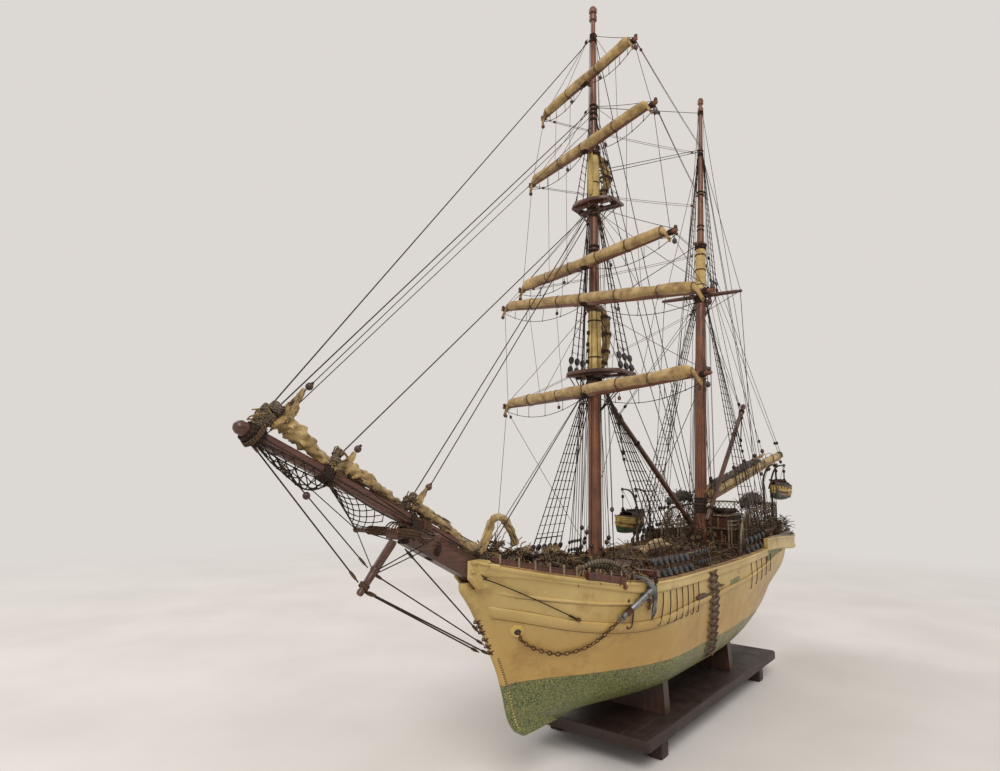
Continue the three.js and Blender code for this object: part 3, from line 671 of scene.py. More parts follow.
chain_metal = old_metal("chain_metal", "anchor_iron", (62, 40, 26), (112, 78, 50), (48, 28, 20), 0.6,
                        0.45)
wire_metal = old_metal("chainplate_wire", "davit_wire", (48, 26, 14), (84, 50, 28), (46, 26, 16), 0.3,
                       0.5)
davit_metal = old_metal("davit_wire", "davit_wire", (40, 36, 32), (86, 78, 68), (84, 56, 40), 0.5, 0.5)
deck_planks = planks("deck_planks", "deck_wood", (58, 36, 24), (104, 72, 48), (122, 88, 60),
                     (34, 22, 16), 4.2, 62)


def dress(material, *names):
    """Gives carried-over CAD nodes their finish."""
    for name in names:
        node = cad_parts[name]
        node.data.materials.clear()
        node.data.materials.append(material)


dress(board_wood, "base_board")
dress(cradle_wood, *(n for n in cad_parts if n.startswith(("foot_", "cradle_"))))
dress(hull_mat, "keel", "rudder")
dress(deck_planks, "deck")
dress(post_wood, "cathead_port", "cathead_starboard")

# ---------------------------------------------------------------- camera, floor and light

# Fitted to the photo by perspective: the eye's place, its turns in degrees and its lens.
EYE = {"at": (-914.9, -401.6, 311.3), "yaw": 52.16, "pitch": 7.97, "roll": 0.76, "lens": 23.34}


def make_camera():
    yaw, pitch, roll = (radians(EYE[k]) for k in ("yaw", "pitch", "roll"))
    ahead = Vector((sin(yaw) * cos(pitch), cos(yaw) * cos(pitch), sin(pitch)))
    level = Vector((cos(yaw), -sin(yaw), 0))
    top = level.cross(ahead)
    right = level * cos(roll) + top * sin(roll)
    up = top * cos(roll) - level * sin(roll)
    data = bpy.data.cameras.new("camera")
    data.lens = EYE["lens"]
    data.sensor_width = 36
    data.clip_start = 0.01
    data.clip_end = 60
    eye = bpy.data.objects.new("camera", data)
    bpy.context.scene.collection.objects.link(eye)
    eye.matrix_world = Matrix.LocRotScale(
        place(EYE["at"]), Matrix((right, up, -ahead)).transposed().to_quaternion(), None)
    bpy.context.scene.camera = eye


def make_floor():
    """A pale floor that fades into the surroundings all round."""
    p = Paint("floor", "none", 0.9)
    p.shader.inputs["Specular IOR Level"].default_value = 0.1
    colour = p.ramp(p.noise(4, 3, 0.5), (0.35, (207, 203, 200)), (0.65, (216, 212, 209)))
    folds = p.noise(1.0, 3, 0.5, stretch=(3, 14, 1))
    p.finish(colour, folds, 0.12, 0.01)
    x, y, _ = p.parts()
    far = p.math("SQRT", p.plus(p.times(x, x), p.times(y, y)))
    fade = p.ramp(p.times(far, 0.4), (0.42, 1.0), (0.95, 0.0))
    clear = p.node("BsdfTransparent")
    both = p.node("MixShader", {0: fade, 1: clear.outputs[0], 2: p.shader.outputs[0]})
    p.tree.links.new(both.outputs[0], p.tree.nodes["Material Output"].inputs["Surface"])
    mesh = bpy.data.meshes.new("floor")
    n = 48
    ring = [(2.6 * cos(tau * i / n), 2.6 * sin(tau * i / n), -0.0004) for i in range(n)]
    mesh.from_pydata(ring, [], [list(range(n))])
    mesh.materials.append(p.made)
    floor = bpy.data.objects.new("floor", mesh)
    bpy.context.scene.collection.objects.link(floor)


def make_light(name, at, size, power, colour=(1, 1, 1)):
    data = bpy.data.lights.new(name, "AREA")
    data.shape = "DISK"
    data.size = size
    data.energy = power
    data.color = colour
    lamp = bpy.data.objects.new(name, data)
    lamp.location = at
    lamp.rotation_euler = (Vector((0, 0, 0.35)) - Vector(at)).to_track_quat("-Z", "Y").to_euler()
    bpy.context.scene.collection.objects.link(lamp)


make_camera()
make_floor()
make_light("key", (-2.1, -1.5, 2.4), 1.6, 56, (1.0, 0.98, 0.95))
make_light("fill", (1.9, -1.8, 1.7), 1.8, 7, (0.96, 0.98, 1.0))
make_light("back", (-0.3, 2.4, 2.5), 2.0, 24)
bpy.context.scene.view_settings.view_transform = "Standard"
world = bpy.data.worlds.new("studio")
world.use_nodes = True
world.node_tree.nodes["Background"].inputs["Color"].default_value = tint(226, 221, 216)
world.node_tree.nodes["Background"].inputs["Strength"].default_value = 0.95
bpy.context.scene.world = world

# ---------------------------------------------------------------- the taut stays, as cords

STAY = 0.55
THIN_STAY = 0.38
CORD_STEPS = 24


def taut_cord(name, a, b, radius=STAY, stands_for=(), path=None):
    """One rope pulled straight, or tight round a path, with an eye lashed round each end."""
    a, b = Vector(a), Vector(b)
    path = path or [a.lerp(b, i / CORD_STEPS) for i in range(CORD_STEPS + 1)]
    long = sum((q - p).length for p, q in zip(path, path[1:]))
    form = Form()
    form.tube(path, radius, 8)
    made = piece(name, form, tarred, stands_for=stands_for)
    place(a)
    [place(p) for p in path]
    knots = Form()
    ahead = (b - a).normalized()
    for start, step in ((a + ahead * 4, ahead), (b - ahead * 4, -ahead)):
        for k in range(7):
            swell = 1.0 + 0.5 * sin(pi * (k + 0.5) / 7)
            knots.hoop(start + step * k * 1.3, ahead, radius * 0.95 * swell, 0.55, around=10, sides=5)
    lashings = piece(name + "_lashings", knots, brown_line)
    lashings.parent = made


HEAD_STAYS = {
    "stay_royal": ((-204.5, 0, 903), on_jib(0.937, 6)),
    "stay_topgallant_upper": ((-205, 0, 799), on_jib(0.925, 6)),
    "stay_topgallant_lower": ((-205.5, -1.8, 791), on_jib(0.905, 6.2, -1.5)),
    "stay_flying_jib": ((-206, 1.5, 773), on_jib(0.885, 6, 1.5)),
    "stay_jib": ((-209.5, -1.2, 657), on_jib(0.655, 6.2, -1)),
    "stay_jib_inner": ((-210, 1.4, 655), on_jib(0.286, 6.6, 1.2)),
    "stay_fore_topmast": ((-210.5, -1.5, 648), on_jib(0.246, 7, -1.5)),
    "stay_fore_topmast_twin": ((-210.5, 1.5, 645), on_jib(0.236, 7.2, 1.5)),
    "stay_fore": ((-212, -1.5, 434), (-431, -4.5, 227.5)),
    "stay_fore_twin": ((-212, 1.5, 430), (-428, 4.5, 226.5)),
}
STANDING = {"stay_royal", "stay_topgallant_upper", "stay_jib", "stay_jib_inner", "stay_fore"}
SOLIDS = {"stay_royal": ("outer_head_stays",), "stay_jib": ("inner_head_stays",)}
for stay, (top, foot) in HEAD_STAYS.items():
    taut_cord(stay, top, foot, STAY if stay in STANDING else THIN_STAY, stands_for=SOLIDS.get(stay, ()))

tip = Vector(STRIKER["end"])
taut_cord("martingale_lower", tip + Vector((-1, 0, 10)), (-674, 0, 334.5), 0.6,
          stands_for=("martingale_stays",))
taut_cord("martingale_upper", tip + Vector((8, 0, 20)), (-650, 0, 320), 0.5)
for side, word in SIDES.items():
    taut_cord(f"backrope_low_{word}", tip + Vector((5, side * 1.6, 3)), (-417, side * 6.5, 146), 0.7)
taut_cord("backrope_upper", tip + Vector((12, 0, 16)), (-415, 2, 153), 0.6)
taut_cord("bobstay", (-524, 0, 250), (-425, 0, 166), 0.7)
for side, word in SIDES.items():
    route = [skin(-434 + 94 * i / 20, 219.5 - 46.5 * i / 20, side, 2.6 - 0.6 * i / 20) for i in range(21)]
    route = [Vector((-440, side * 7.5, 222.5))] + route
    taut_cord(f"bowsprit_guy_{word}", route[0], route[-1], 0.55, path=route)
for name, (low, high), thick, lift in (("jib_downhaul", (0.56, 0.10), 0.4, 9),
                                       ("jib_sheet_gear", (0.50, 0.12), 0.35, 7),
                                       ("staysail_downhaul", (0.30, 0.04), 0.35, 16)):
    taut_cord(name, on_jib(low, lift, -3.2), on_jib(high, lift, -3.2), thick)
taut_cord("triatic_stay", fore_at(804, 3), main_at(986, -3), 0.5)
taut_cord("topmast_stay_upper", fore_at(714, 5), main_at(911, -3), 0.5)
taut_cord("topmast_stay_lower", fore_at(709, 5), main_at(907, -3), 0.5)
taut_cord("main_topmast_stay", fore_at(526, 8), main_at(724, -8), 0.6)

# ---------------------------------------------------------------- hull

RIM = [(-419, 219.5), (-392, 215), (-331, 203.5), (-291, 196), (-264, 192), (-150, 189), (0, 190),
       (158, 195.5)]
BEAD = [(-420, 204), (-397, 199.2), (-365, 193.8), (-324, 187.6), (-284, 184), (-262, 182.5)]
WALE_TOP = [(-420, 190), (-386, 182.7), (-356, 174.7), (-332, 169.5), (-291, 163.5), (-250, 162),
            (-228, 164), (-160, 168.5), (-60, 170), (51, 174.5), (141, 184), (250, 198), (330, 201)]


def level(line, x):
    """The height at x of a line through (x, z) points, straight from each to the next."""
    for (x0, z0), (x1, z1) in zip(line, line[1:]):
        if x <= x1:
            break
    return mix(z0, z1, clamp((x - x0) / (x1 - x0)))


def sheer(line, x, wide=12):
    """level() eased over a short run so that the line has no corners."""
    return sum(level(line, x + wide * k / 3) for k in range(-3, 4)) / 7


def steps(a, b, count):
    """Evenly spaced numbers from a to b."""
    return [mix(a, b, i / count) for i in range(count + 1)]


def hull_row(u, side):
    """Points up the hull's side at a share of its length."""
    row = []
    for i in range(35):
        v = (i / 34) ** 1.12
        z = mix(62, 200, v)
        for _ in range(3):
            x = mix(stem_x(z) + 0.3, stern_x(z) - 0.3, u)
            top = rail_height(min(x, STERN["poop"]))
            if x >= STERN["poop"]:
                top = mix(top, 212, smooth(x, STERN["poop"], 240))
            z = mix(62, top, v)
        uneven = noise.noise(Vector((x, z * 1.6, side * 40)) * 0.022) * 0.4
        y = max(0.0, half_breadth(x, z) - 1.5 + uneven * smooth(half_breadth(x, z), 0, 20))
        row.append(Vector((x, side * y, z)))
    return row


def ease_ends(t):
    """Crowds shares of a length towards both its ends."""
    return mix(t, 0.5 - 0.5 * cos(pi * t), 0.8)


def make_hull():
    """The hull's skin, with the stem, knightheads and keel faired into it."""
    skins = Form()
    for side in SIDES:
        skins.grid([hull_row(ease_ends(u), side) for u in steps(0, 1, 130)])
    piece("hull_shell", skins, hull_mat, angle=50, thick=2.6, offset=0,
          stands_for=("hull", "bulwark_port", "bulwark_starboard"))
    make_stem()
    make_knightheads()
    make_keel()


# The stem's fore edge: (z, x) from the forefoot up.
STEM = [(55.5, -352), (58, -361), (62, -366.5), (67, -371.5), (75, -377), (84, -381), (100, -386),
        (121, -394.5), (138, -404), (155, -414), (173, -426), (191, -439), (200, -447), (206, -453),
        (211, -454.2), (214, -453)]


def eased_front(z):
    """Where the stem's fore edge is at a height, with its corners eased."""
    return sum(level(STEM, clamp(z + k * 1.5, STEM[0][0], STEM[-1][0])) for k in range(-2, 3)) / 5


def make_stem():
    """The stem with its rounded fore edge, faired into the bows on both sides."""
    form = Form()
    rows = []
    for z in steps(56, 214, 70):
        front = eased_front(z)
        join = front + 6
        while half_breadth(join, z) < 7.5 and join < front + 60:
            join += 1.0
        half = []
        for t in steps(0, 1, 22):
            x = front + (join - front) * t**1.5
            nose = 3.6 * sqrt(clamp(1 - (1 - clamp((x - front) / 3.2)) ** 2))
            hull = half_breadth(x, max(z, 60))
            full = (nose + hull + hypot(nose - hull, 1.6 * smooth(x, front + 3, front + 8))) / 2
            half.append((x, mix(full, hull - 1.2, smooth(t, 0.72, 1.0)) if hull > 3.6
                         else min(full, 4.6)))
        rows.append([Vector((x, -y, z)) for x, y in reversed(half)]
                    + [Vector((x, y, z)) for x, y in half[1:]])
    form.grid(rows)
    form.add(rows[-1], [list(range(len(rows[-1])))])
    form.add(rows[0], [list(range(len(rows[0])))])
    piece("stem_faired", form, hull_mat, angle=60, stands_for=("keel",))


def make_knightheads():
    """The cheeks that carry the bows forward on both sides of the bowsprit."""
    form = Form()
    for side in SIDES:
        rows = []
        for z in steps(208, 234.5, 18):
            front = -452.4 + 1.15 * max(0, 218.5 - z)
            join = front + 8
            while half_breadth(join, z) < 20 and join < front + 50:
                join += 1.0
            half = []
            for t in steps(0, 1, 16):
                x = front + (join - front) * t
                nose = 7 + 3.2 * sqrt(clamp(1 - (1 - clamp((x - front) / 3.0)) ** 2))
                hull = half_breadth(x, z) + 0.4
                full = (nose + hull + hypot(nose - hull, 4)) / 2
                half.append(Vector((x, side * mix(full, hull - 1.8, smooth(t, 0.9, 1.0)), z)))
            rows.append([Vector((front + 2.5, side * 6.5, z))] + half)
        form.grid(rows)
        for row, inner in ((rows[-1], 6.5), (rows[0], 3)):
            form.grid([row, [Vector((p.x, side * inner, p.z)) for p in row]])
        # The cap and the rim moulding run on to their front ends.
        cap = (231, -446, -428, 11.6, 1.9,
               ((-451, 233.6), (-446, 233), (-440, 232), (-434, 230.6), (-428, 229)))
        rim = (222, -448, -426, 11.4, 1.5,
               ((-451.5, 225.2), (-446, 224.4), (-440, 223.2), (-432, 221.8), (-424, 220.6)))
        for near, start, end, inner, thick, spots in (cap, rim):
            path = []
            for x, z in spots:
                out = smooth(x, start, end)
                path.append(Vector((x, side * (half_breadth(x, near) * out + inner * (1 - out)), z)))
            form.tube(path, thick, 8)
    piece("knightheads", form, hull_mat, angle=50)


def make_keel():
    """The keel and sternpost, with the garboards that slope down to them."""
    form = Form()
    rows = []
    for x in steps(-352, 384, 150):
        near = smooth(x, -352, -330)
        wide = mix(2.4, 3.4, near)
        belly = max(wide, min(half_breadth(clamp(x, -338, 368), 63.5) - 0.6, 40))
        section = [(belly, 64), (mix(wide, belly, 0.45), 61.4), (wide + 0.5, 60.6), (wide, 59.6),
                   (wide, 57.2), (wide - 1, 56.2)]
        rows.append([Vector((x, -y, z)) for y, z in section]
                    + [Vector((x, y, z)) for y, z in reversed(section)])
    form.grid(rows)
    form.add(rows[-1], [list(range(len(rows[-1])))])
    post = []
    for z in steps(57, 137, 20):
        back = STERN["post"] + 11.5
        front = STERN["post"] - 10 + 14 * smooth(z, 120, 137)
        post.append([Vector((front, -3.3, z)), Vector((back - 1, -3.3, z)), Vector((back, -2.3, z)),
                     Vector((back, 2.3, z)), Vector((back - 1, 3.3, z)), Vector((front, 3.3, z))])
    form.grid(post, closed=True, caps=True)
    piece("keel_and_sternpost", form, hull_mat, angle=50)


def make_lining():
    """Weathered boards inside the bulwarks, and the bulkhead at the break of the poop."""
    form = Form()
    for side in SIDES:
        rows = []
        for x in steps(-300, 158, 90):
            low, high = deck_height(x) - 2, rail_height(x) + 0.6
            wave = noise.noise(Vector((x * 0.3, side, 0))) * 0.3
            rows.append([Vector((x, side * (half_breadth(x, z) - 4.4 + wave), z))
                         for z in steps(low, high, 6)])
        form.grid(rows)
        for x in steps(-290, 150, 34):
            z = rail_height(x)
            y = side * (half_breadth(x, z) - 6)
            form.planed((x - 1.5, y - 1.4, z - 22), (x + 1.5, y + 1.4, z + 0.5), 0.5)
        rows = []
        for x in steps(162, 432, 60):
            rows.append([Vector((x, side * (half_breadth(x, 210) - 3.8), z))
                         for z in steps(204, 221.8, 4)])
        form.grid(rows)
    half = half_breadth(161, 196) - 4
    for y0, y1 in zip(steps(-half, half, 22), steps(-half, half, 22)[1:]):
        form.planed((159.6, y0 + 0.2, deck_height(160) - 2), (163, y1 - 0.2, 207), 0.4)
    piece("bulwark_lining", form, house_wood)


def strake(form, side, xs, height, section):
    """A moulding along the skin; its section lists (off the skin, up)."""
    rows = [[skin(x, height(x) + up, side, off) for off, up in section(x)] for x in xs]
    form.grid(rows, closed=True, caps=True)


def fade(x, low, high, over):
    """1 between low and high, going down to 0 at both over a length."""
    return min(smooth(x, low, low + over), 1 - smooth(x, high - over, high))


def rim_section(x):
    f = clamp(fade(x, -446, 162, 12) + 0.1)
    up = rail_height(x) - sheer(RIM, x)
    return [(-1.5, 0), (0.8 * f, -0.6), (1.9 * f, 0.8), (2.2 * f, 2.2), (1.7 * f, up * 0.5),
            (2.2 * f, up - 2.2), (3.1 * f, up - 1), (2.6 * f, up + 0.8), (-0.6, up + 1.2), (-1.5, up)]


def bead_section(x):
    f = fade(x, -424, -258, 14)
    return [(-1, -2.6), (0.5 * f, -2.2), (1.5 * f, -1), (1.5 * f, 0.3), (0.5 * f, 1.1), (-1, 1.4)]


def wale_section(x):
    f = fade(x, -425, 258, 14)
    deep = mix(10.5, 6.5, smooth(x, -250, 60))
    lower = f * mix(1.8, 0.8, smooth(x, -240, -80))
    return [(-1.2, -deep - 0.6), (0.3 * lower, -deep), (lower, -deep + 1.3), (1.9 * f, -deep * 0.5),
            (2.2 * f, -1.4), (1.9 * f, -0.3), (0.4, 0.3), (-1.2, 0.5)]


def make_strakes():
    """The rim under the rail, the bead at the bow and the wale, each fading out at its ends."""
    form = Form()
    for side in SIDES:
        strake(form, side, steps(-433, 160, 96), lambda x: sheer(RIM, x), rim_section)
        strake(form, side, steps(-420, -260, 44), lambda x: sheer(BEAD, x, 6), bead_section)
        strake(form, side, steps(-417, 252, 118), lambda x: sheer(WALE_TOP, x), wale_section)
    piece("wales_and_mouldings", form, hull_mat, angle=50)
    # Dark strips lie in the corner over each moulding: painted shade in the corners, mixed with old soiling.
    shade_and_dirt = Form()
    for side in SIDES:
        for line, a, b, up, lean in ((RIM, -418, -60, -0.5, 1), (BEAD, -416, -268, -2.8, 0.6),
                                     (WALE_TOP, -412, 244, 0.35, 0.8),
                                     (WALE_TOP, -410, -190, -10.9, 0.8)):
            rows = []
            for x in steps(a, b, 110):
                wide = 0.34 + 0.5 * abs(noise.noise(Vector((x * 0.05, up, side))))
                rows.append([skin(x, sheer(line, x, 6 if line is BEAD else 12) + up + d, side, off)
                             for d, off in ((-wide, 0.1), (0, lean * 0.62), (wide, 0.1), (0, -0.7))])
            shade_and_dirt.grid(rows, closed=True, caps=True)
    piece("moulding_shade_and_dirt", shade_and_dirt, grime_and_shade)


def make_rail():
    """The rail's rough, worn cap."""
    form = Form()
    for side in SIDES:
        rows = []
        for x in steps(-440, 160, 240):
            z = rail_height(x) + 0.9
            half = half_breadth(x, z)
            rough = noise.noise(Vector((x * 0.35, side * 9, 1))) * 0.5
            chip = noise.noise(Vector((x * 0.9, side * 5, 4))) * 0.3
            inner = max(0.0, half - 5.2 + rough)
            outer = half + 1.1 + chip
            rows.append([Vector((x, side * y, z + up)) for y, up in
                         ((inner, 0), (outer, 0), (outer, 0.8 + chip), (outer - 0.7, 1.5 + rough * 0.5),
                          ((inner + outer) / 2, 1.8 + chip * 0.6), (inner + 0.6, 1.5 - rough * 0.4))])
        form.grid(rows, closed=True, caps=True)
    rail = wood("rail_cap", "house_wood", (78, 54, 32), (120, 90, 54), (168, 136, 86),
                along("X", 700, 60), 0.7, 0.0, worn=(196, 166, 110))
    piece("rail_cap", form, rail)


def stern_walk(off):
    """The poop's outline, off the hull, from the port side round the stern to the starboard side."""
    xs = [mix(146.5, 440.5, sin(pi / 2 * i / 30)) for i in range(31)]
    half = [Vector((x + off * smooth(x, 380, 440), -(half_breadth(min(x, 443.4), 210) + off), 0))
            for x in xs]
    end = half[-1]
    bow = [Vector((end.x + 5.5 * cos(a) - 0.5, end.y * sin(a), 0)) for a in steps(pi / 2, 0, 7)[1:]]
    one = half + bow
    return one + [Vector((p.x, -p.y, 0)) for p in one[-2::-1]]


def poop_line(x, z):
    """Heights on the poop band: it settles below the sheer as it goes aft."""
    down = clamp((BAND["top"] - z) / 21)
    return z - mix(9.5, 12.5, down) * smooth(x, 165, 390) + 2.4 * down


def make_poop():
    """The poop's overhanging band, mouldings and the green panels under its quarters."""
    band = Form()
    outer = stern_walk(3.6)
    inner = stern_walk(-3)
    section = [(0.9, BAND["low"]), (1.0, 202.6), (0.9, 204), (0.86, 209), (0.86, 216), (0.92, 217.4),
               (1.0, 218.2), (1.0, 220.4), (0.9, BAND["top"]), (0.0, BAND["top"]), (0.0, BAND["low"])]
    rows = []
    for a, b in zip(outer, inner):
        slant = 0.14 * (1 - smooth(a.x, 150, 192))
        rows.append([Vector((*b.lerp(a, share).xy, poop_line(a.x, z)))
                     + Vector((max(0, BAND["top"] - z) * slant, 0, 0)) for share, z in section])
    band.grid(rows, closed=True, caps=True)
    piece("poop_band", band, hull_mat, stands_for=("poop_bulwark",))
    lip = Form()
    for z, k in ((202.4, 4), (219.4, 1)):
        lip.tube([Vector((p.x, p.y, poop_line(p.x, z))) for p in stern_walk(3.7)[k:-k]], 0.75, 6)
    piece("poop_beads", lip, hull_mat)
    rail = Form()
    rail.tube([Vector((p.x, p.y, poop_line(p.x, BAND["top"]) + 0.8)) for p in stern_walk(1.2)[1:-1]], 1.5,
              8)
    piece("poop_rail", rail, trim_wood)
    floor = Form()
    rows = []
    for x in [mix(161, 441, sin(pi / 2 * i / 30)) for i in range(31)]:
        half = half_breadth(x, 205) - 2
        rows.append([Vector((x, half * s, 205.4 + 1.2 * (1 - s * s))) for s in steps(-1, 1, 10)])
    floor.grid(rows)
    piece("poop_deck", floor, deck_planks)
    panels = Form()
    for side in SIDES:
        rows = []
        for x in steps(150, 246, 36):
            high = poop_line(x, BAND["low"])
            low = min(sheer(WALE_TOP, x) + 0.6, high - 0.2)
            rows.append([skin(x, z, side, 1.1 if 0 < k < 6 else -0.8)
                         for k, z in enumerate(steps(low, high + 1.5, 6))])
        panels.grid(rows)
    piece("quarter_panels", panels, panel_green)


def make_fittings():
    """Chainplates, side ladders, scuppers, hawse rings, eyebolts and the draught marks on the stem."""
    plates, ladder, dark, gold, slots = Form(), Form(), Form(), Form(), Form()
    for side in SIDES:
        spots = [(mix(-236, -138, i / 6), 190, 158.5) for i in range(7)]
        spots += [(mix(67, 165, i / 4), 193 + i * 1.2, 160 + i * 3.6) for i in range(5)]
        for x, high, low in spots:
            path = [skin(x, high, side, 1.6), skin(x + 0.4, (high + low) / 2, side, 1.9),
                    skin(x + 0.8, low, side, 1.9)]
            hook = [skin(x - 1.4, low - 2.4, side, 1.8), skin(x - 3.8, low - 2.2, side, 1.4)]
            plates.tube(curve(path + hook, 5), 0.62, 6)
        # The ladder's steps are crossed slats with a knob where they cross.
        for i in range(12):
            t = i / 11
            x, z = mix(-90, -67, t), mix(194, 94, t)
            for d in (-1, 1):
                a = skin(x - d * 17, z + 4.2, side, 2.0)
                b = skin(x + d * 17, z - 4.6, side, 2.2 + 0.7 * d)
                middle = skin(x, z, side, 3.6)
                ladder.tube(curve([a, a.lerp(middle, 0.55), middle, b.lerp(middle, 0.55), b], 3),
                            [0.6, 0.9, 1.2, 1.4, 1.5, 1.6, 1.7, 1.6, 1.5, 1.4, 1.2, 0.9, 0.6], 6)
            ladder.ball(skin(x, z, side, 4.2), 3.0, long=0.9)
            ladder.line(skin(x - 9, z, side, 2.6), skin(x + 9, z, side, 2.6), 1.3)
        # Chocks before and abaft the ladder, and the scupper's green slot.
        for x0, x1, z, deep in ((-144, -104, 171.5, 3.2), (-66, -48, 176, 1.6)):
            rows = []
            for x in steps(x0, x1, 8):
                swell = sin(pi * clamp((x - x0) / (x1 - x0) * 0.9 + 0.08))
                rows.append([skin(x, z + u * deep * swell, side, o)
                             for o, u in ((-0.5, -1), (2.2, -0.8), (3.2, 0), (2.2, 0.9), (-0.5, 1))])
            ladder.grid(rows, closed=True, caps=True)
        rows = [[skin(x, 175.8 + (x + 1) * 0.06 + u, side, o)
                 for o, u in ((-0.8, -2.5), (0.7, -2.5), (0.7, 2.5), (-0.8, 2.5))]
                for x in steps(-19, 17, 12)]
        slots.grid(rows, closed=True, caps=True)
        # Hawse: a raised yellow ring round a dark disc in its mouth, painted shade inside the hole.
        at = skin(-388, 164, side, 0.6)
        out = (skin(-388, 164, side, 3) - at).normalized()
        gold.lathe(at - out * 2, at + out * 1.5, [(0, 7.4), (0.5, 7.4), (0.8, 6.8), (1, 5.2)], 24)
        gold.hoop(at + out * 1.3, out, 4.4, 1.2, around=24, sides=8)
        dark.lathe(at + out * 0.6, at + out * 1.9, [(0, 3.6), (0.8, 3.6), (1, 3.2)], 18)
        plates.ball(skin(-340, 173, side, 1.2), 2.6, long=0.7, sides=10)
        plates.hoop(skin(-340, 173, side, 2.6), (0, 0, 1), 1.8, 0.6)
    for i, z in enumerate((176, 171, 165.5, 158, 151, 145)):
        x = eased_front(z) - 0.6 + (0.6 if i % 2 else 0)
        for side in SIDES:
            plates.hoop((x + 1, side * 2.6, z), (0, 1, 0.3), 1.9, 0.6, around=10)
        plates.ball((x, 0, z), 1.8)
    # Draught marks: short bars down the stem, dark on the ochre and pale on the green.
    for i in range(13):
        z = 138 - i * 2.3
        for side in SIDES:
            x = eased_front(z) + 4.6
            dark.planed((x - 1.8, side * 3.6 - 0.3, z - 0.45), (x + 1.8, side * 3.6 + 0.3, z + 0.45), 0.2)
    for i in range(14):
        z = 103 - i * 3
        for side in SIDES:
            x = eased_front(z) + 5.5
            gold.planed((x - 1.4, side * 3.7 - 0.3, z - 0.5), (x + 1.4, side * 3.7 + 0.25, z + 0.5), 0.2)
    piece("chainplates", plates, wire_metal)
    piece("side_ladders", ladder, ladder_wood)
    piece("scupper_slots", slots, panel_green)
    # The dark pieces: painted shade in the hawse mouths, and the dark draught marks.
    piece("hawse_shade_and_marks", dark, deadeye_wood)
    piece("hawse_rings", gold, hawse_paint)


def chain(form, path, pitch, wire, wide):
    """Oval links along a path, each turned a quarter from the last."""
    path = curve(path, 24)
    run = [0.0]
    for a, b in zip(path, path[1:]):
        run.append(run[-1] + (b - a).length)
    count = int(run[-1] / pitch)
    for i in range(count):
        want = run[-1] * (i + 0.5) / count
        k = next(j for j, r in enumerate(run) if r >= want)
        at = path[k - 1].lerp(path[k], (want - run[k - 1]) / (run[k] - run[k - 1]))
        ahead = (path[k] - path[k - 1]).normalized()
        flat = Vector((0, 1, 0)) if i % 2 else ahead.cross(Vector((0, 1, 0)))
        across = (flat - ahead * flat.dot(ahead)).normalized()
        form.hoop(at, across, wide, wire, around=12, sides=6, oval=1.62, along=ahead)


def make_anchors():
    """An anchor catted on each side, with its chain to the hawse and its lashings."""
    for side, word in SIDES.items():
        form = Form()
        ring, crown = (skin(-303, 168, side, 6.5), skin(-264, 199, side, 6.5))
        back = (ring - crown).normalized()
        out = skin(-264, 199, side, 15.5) - crown
        across = back.cross(out).normalized() * -1
        face = across.cross(back)

        def at(a, b, c=0.0):
            return crown + across * a + back * b + face * c

        form.lathe(at(0, 3), at(0, 46), [(0, 4.2), (0.1, 3.9), (0.45, 3.4), (0.75, 2.9), (0.9, 2.7),
                                         (1, 2.2)], 12)
        arms = [at(a * 30, 1 + 14.5 * abs(a) ** 2.2) for a in steps(-1, 1, 16)]
        form.tube(arms, [mix(3.9, 0.7, abs(a) ** 1.2) for a in steps(-1, 1, 16)], 10)
        for d in (-1, 1):
            palm = [(0.6, 6.2, 1.4), (0.72, 8.6, 3.1), (0.84, 11.2, 2.9), (0.95, 14, 1.6),
                    (1.04, 17, 0.3)]
            rows = []
            for a, b, half in palm:
                mid = at(d * a * 30, b - 1.2)
                rows.append([mid + face * half * u + back * t
                             for u, t in ((-1, -0.5), (0, -1), (1, -0.5), (1, 0.5), (0, 0.7), (-1, 0.5))])
            form.grid(rows, closed=True, caps=True)
        form.ball(at(0, 0), 4.2, long=0.8, sides=12, rings=7)
        form.hoop(at(0, 47.5), across, 3.7, 0.95, around=18, sides=8)
        form.hoop(at(0, 41), back, 2.6, 0.8, around=14)
        # The stock lies folded along the shank.
        form.tube([at(2.6, 16, 2), at(2.8, 30, 2.2), at(2.4, 44, 2.4)], [1.5, 1.8, 1.3], 8)
        form.ball(at(2.6, 14.5, 2), 2.3)
        form.ball(at(2.4, 45, 2.4), 2.0)
        piece(f"anchor_{word}_forged", form, iron, stands_for=(f"anchor_{word}",))
        route = [(-387.5, 163.5, 2.6), (-380.5, 154.5, 2.6), (-364, 144.5, 2.7), (-342, 138, 2.7),
                 (-323, 141, 2.8), (-311, 149, 2.9), (-305, 159, 3.8)]
        cable = Form()
        chain(cable, [skin(x, z, side, off) for x, z, off in route] + [at(0, 49.5)], 4.75, 0.7, 1.65)
        piece(f"anchor_chain_{word}", cable, chain_metal, stands_for=(f"anchor_cable_{word}",))
        # Lashing at the ring, and a small hook that hangs from the wale.
        bits = Form()
        for k in range(6):
            bits.hoop(at(0, 34 + k * 1.3), back, 3.0, 0.6, around=12)
        bits.tube(curve([skin(-282, 176, side, 2), skin(-280, 168, side, 2.4), skin(-278, 161, side, 2.2),
                         skin(-281, 158, side, 2), skin(-284, 161, side, 2)], 5), 0.9, 6)
        bits.tube(curve([at(6, 12), skin(-262, 186, side, 4), skin(-262, 178, side, 3)], 5), 1.0, 6)
        bits.ball(skin(-262, 184, side, 3.6), 2.4)
        bits.ball(skin(-262, 178, side, 3.2), 2.1)
        piece(f"anchor_lashing_{word}", bits, block_wood)


make_hull()
make_lining()
make_strakes()
make_rail()
make_poop()
make_fittings()
make_anchors()

# ---------------------------------------------------------------- masts


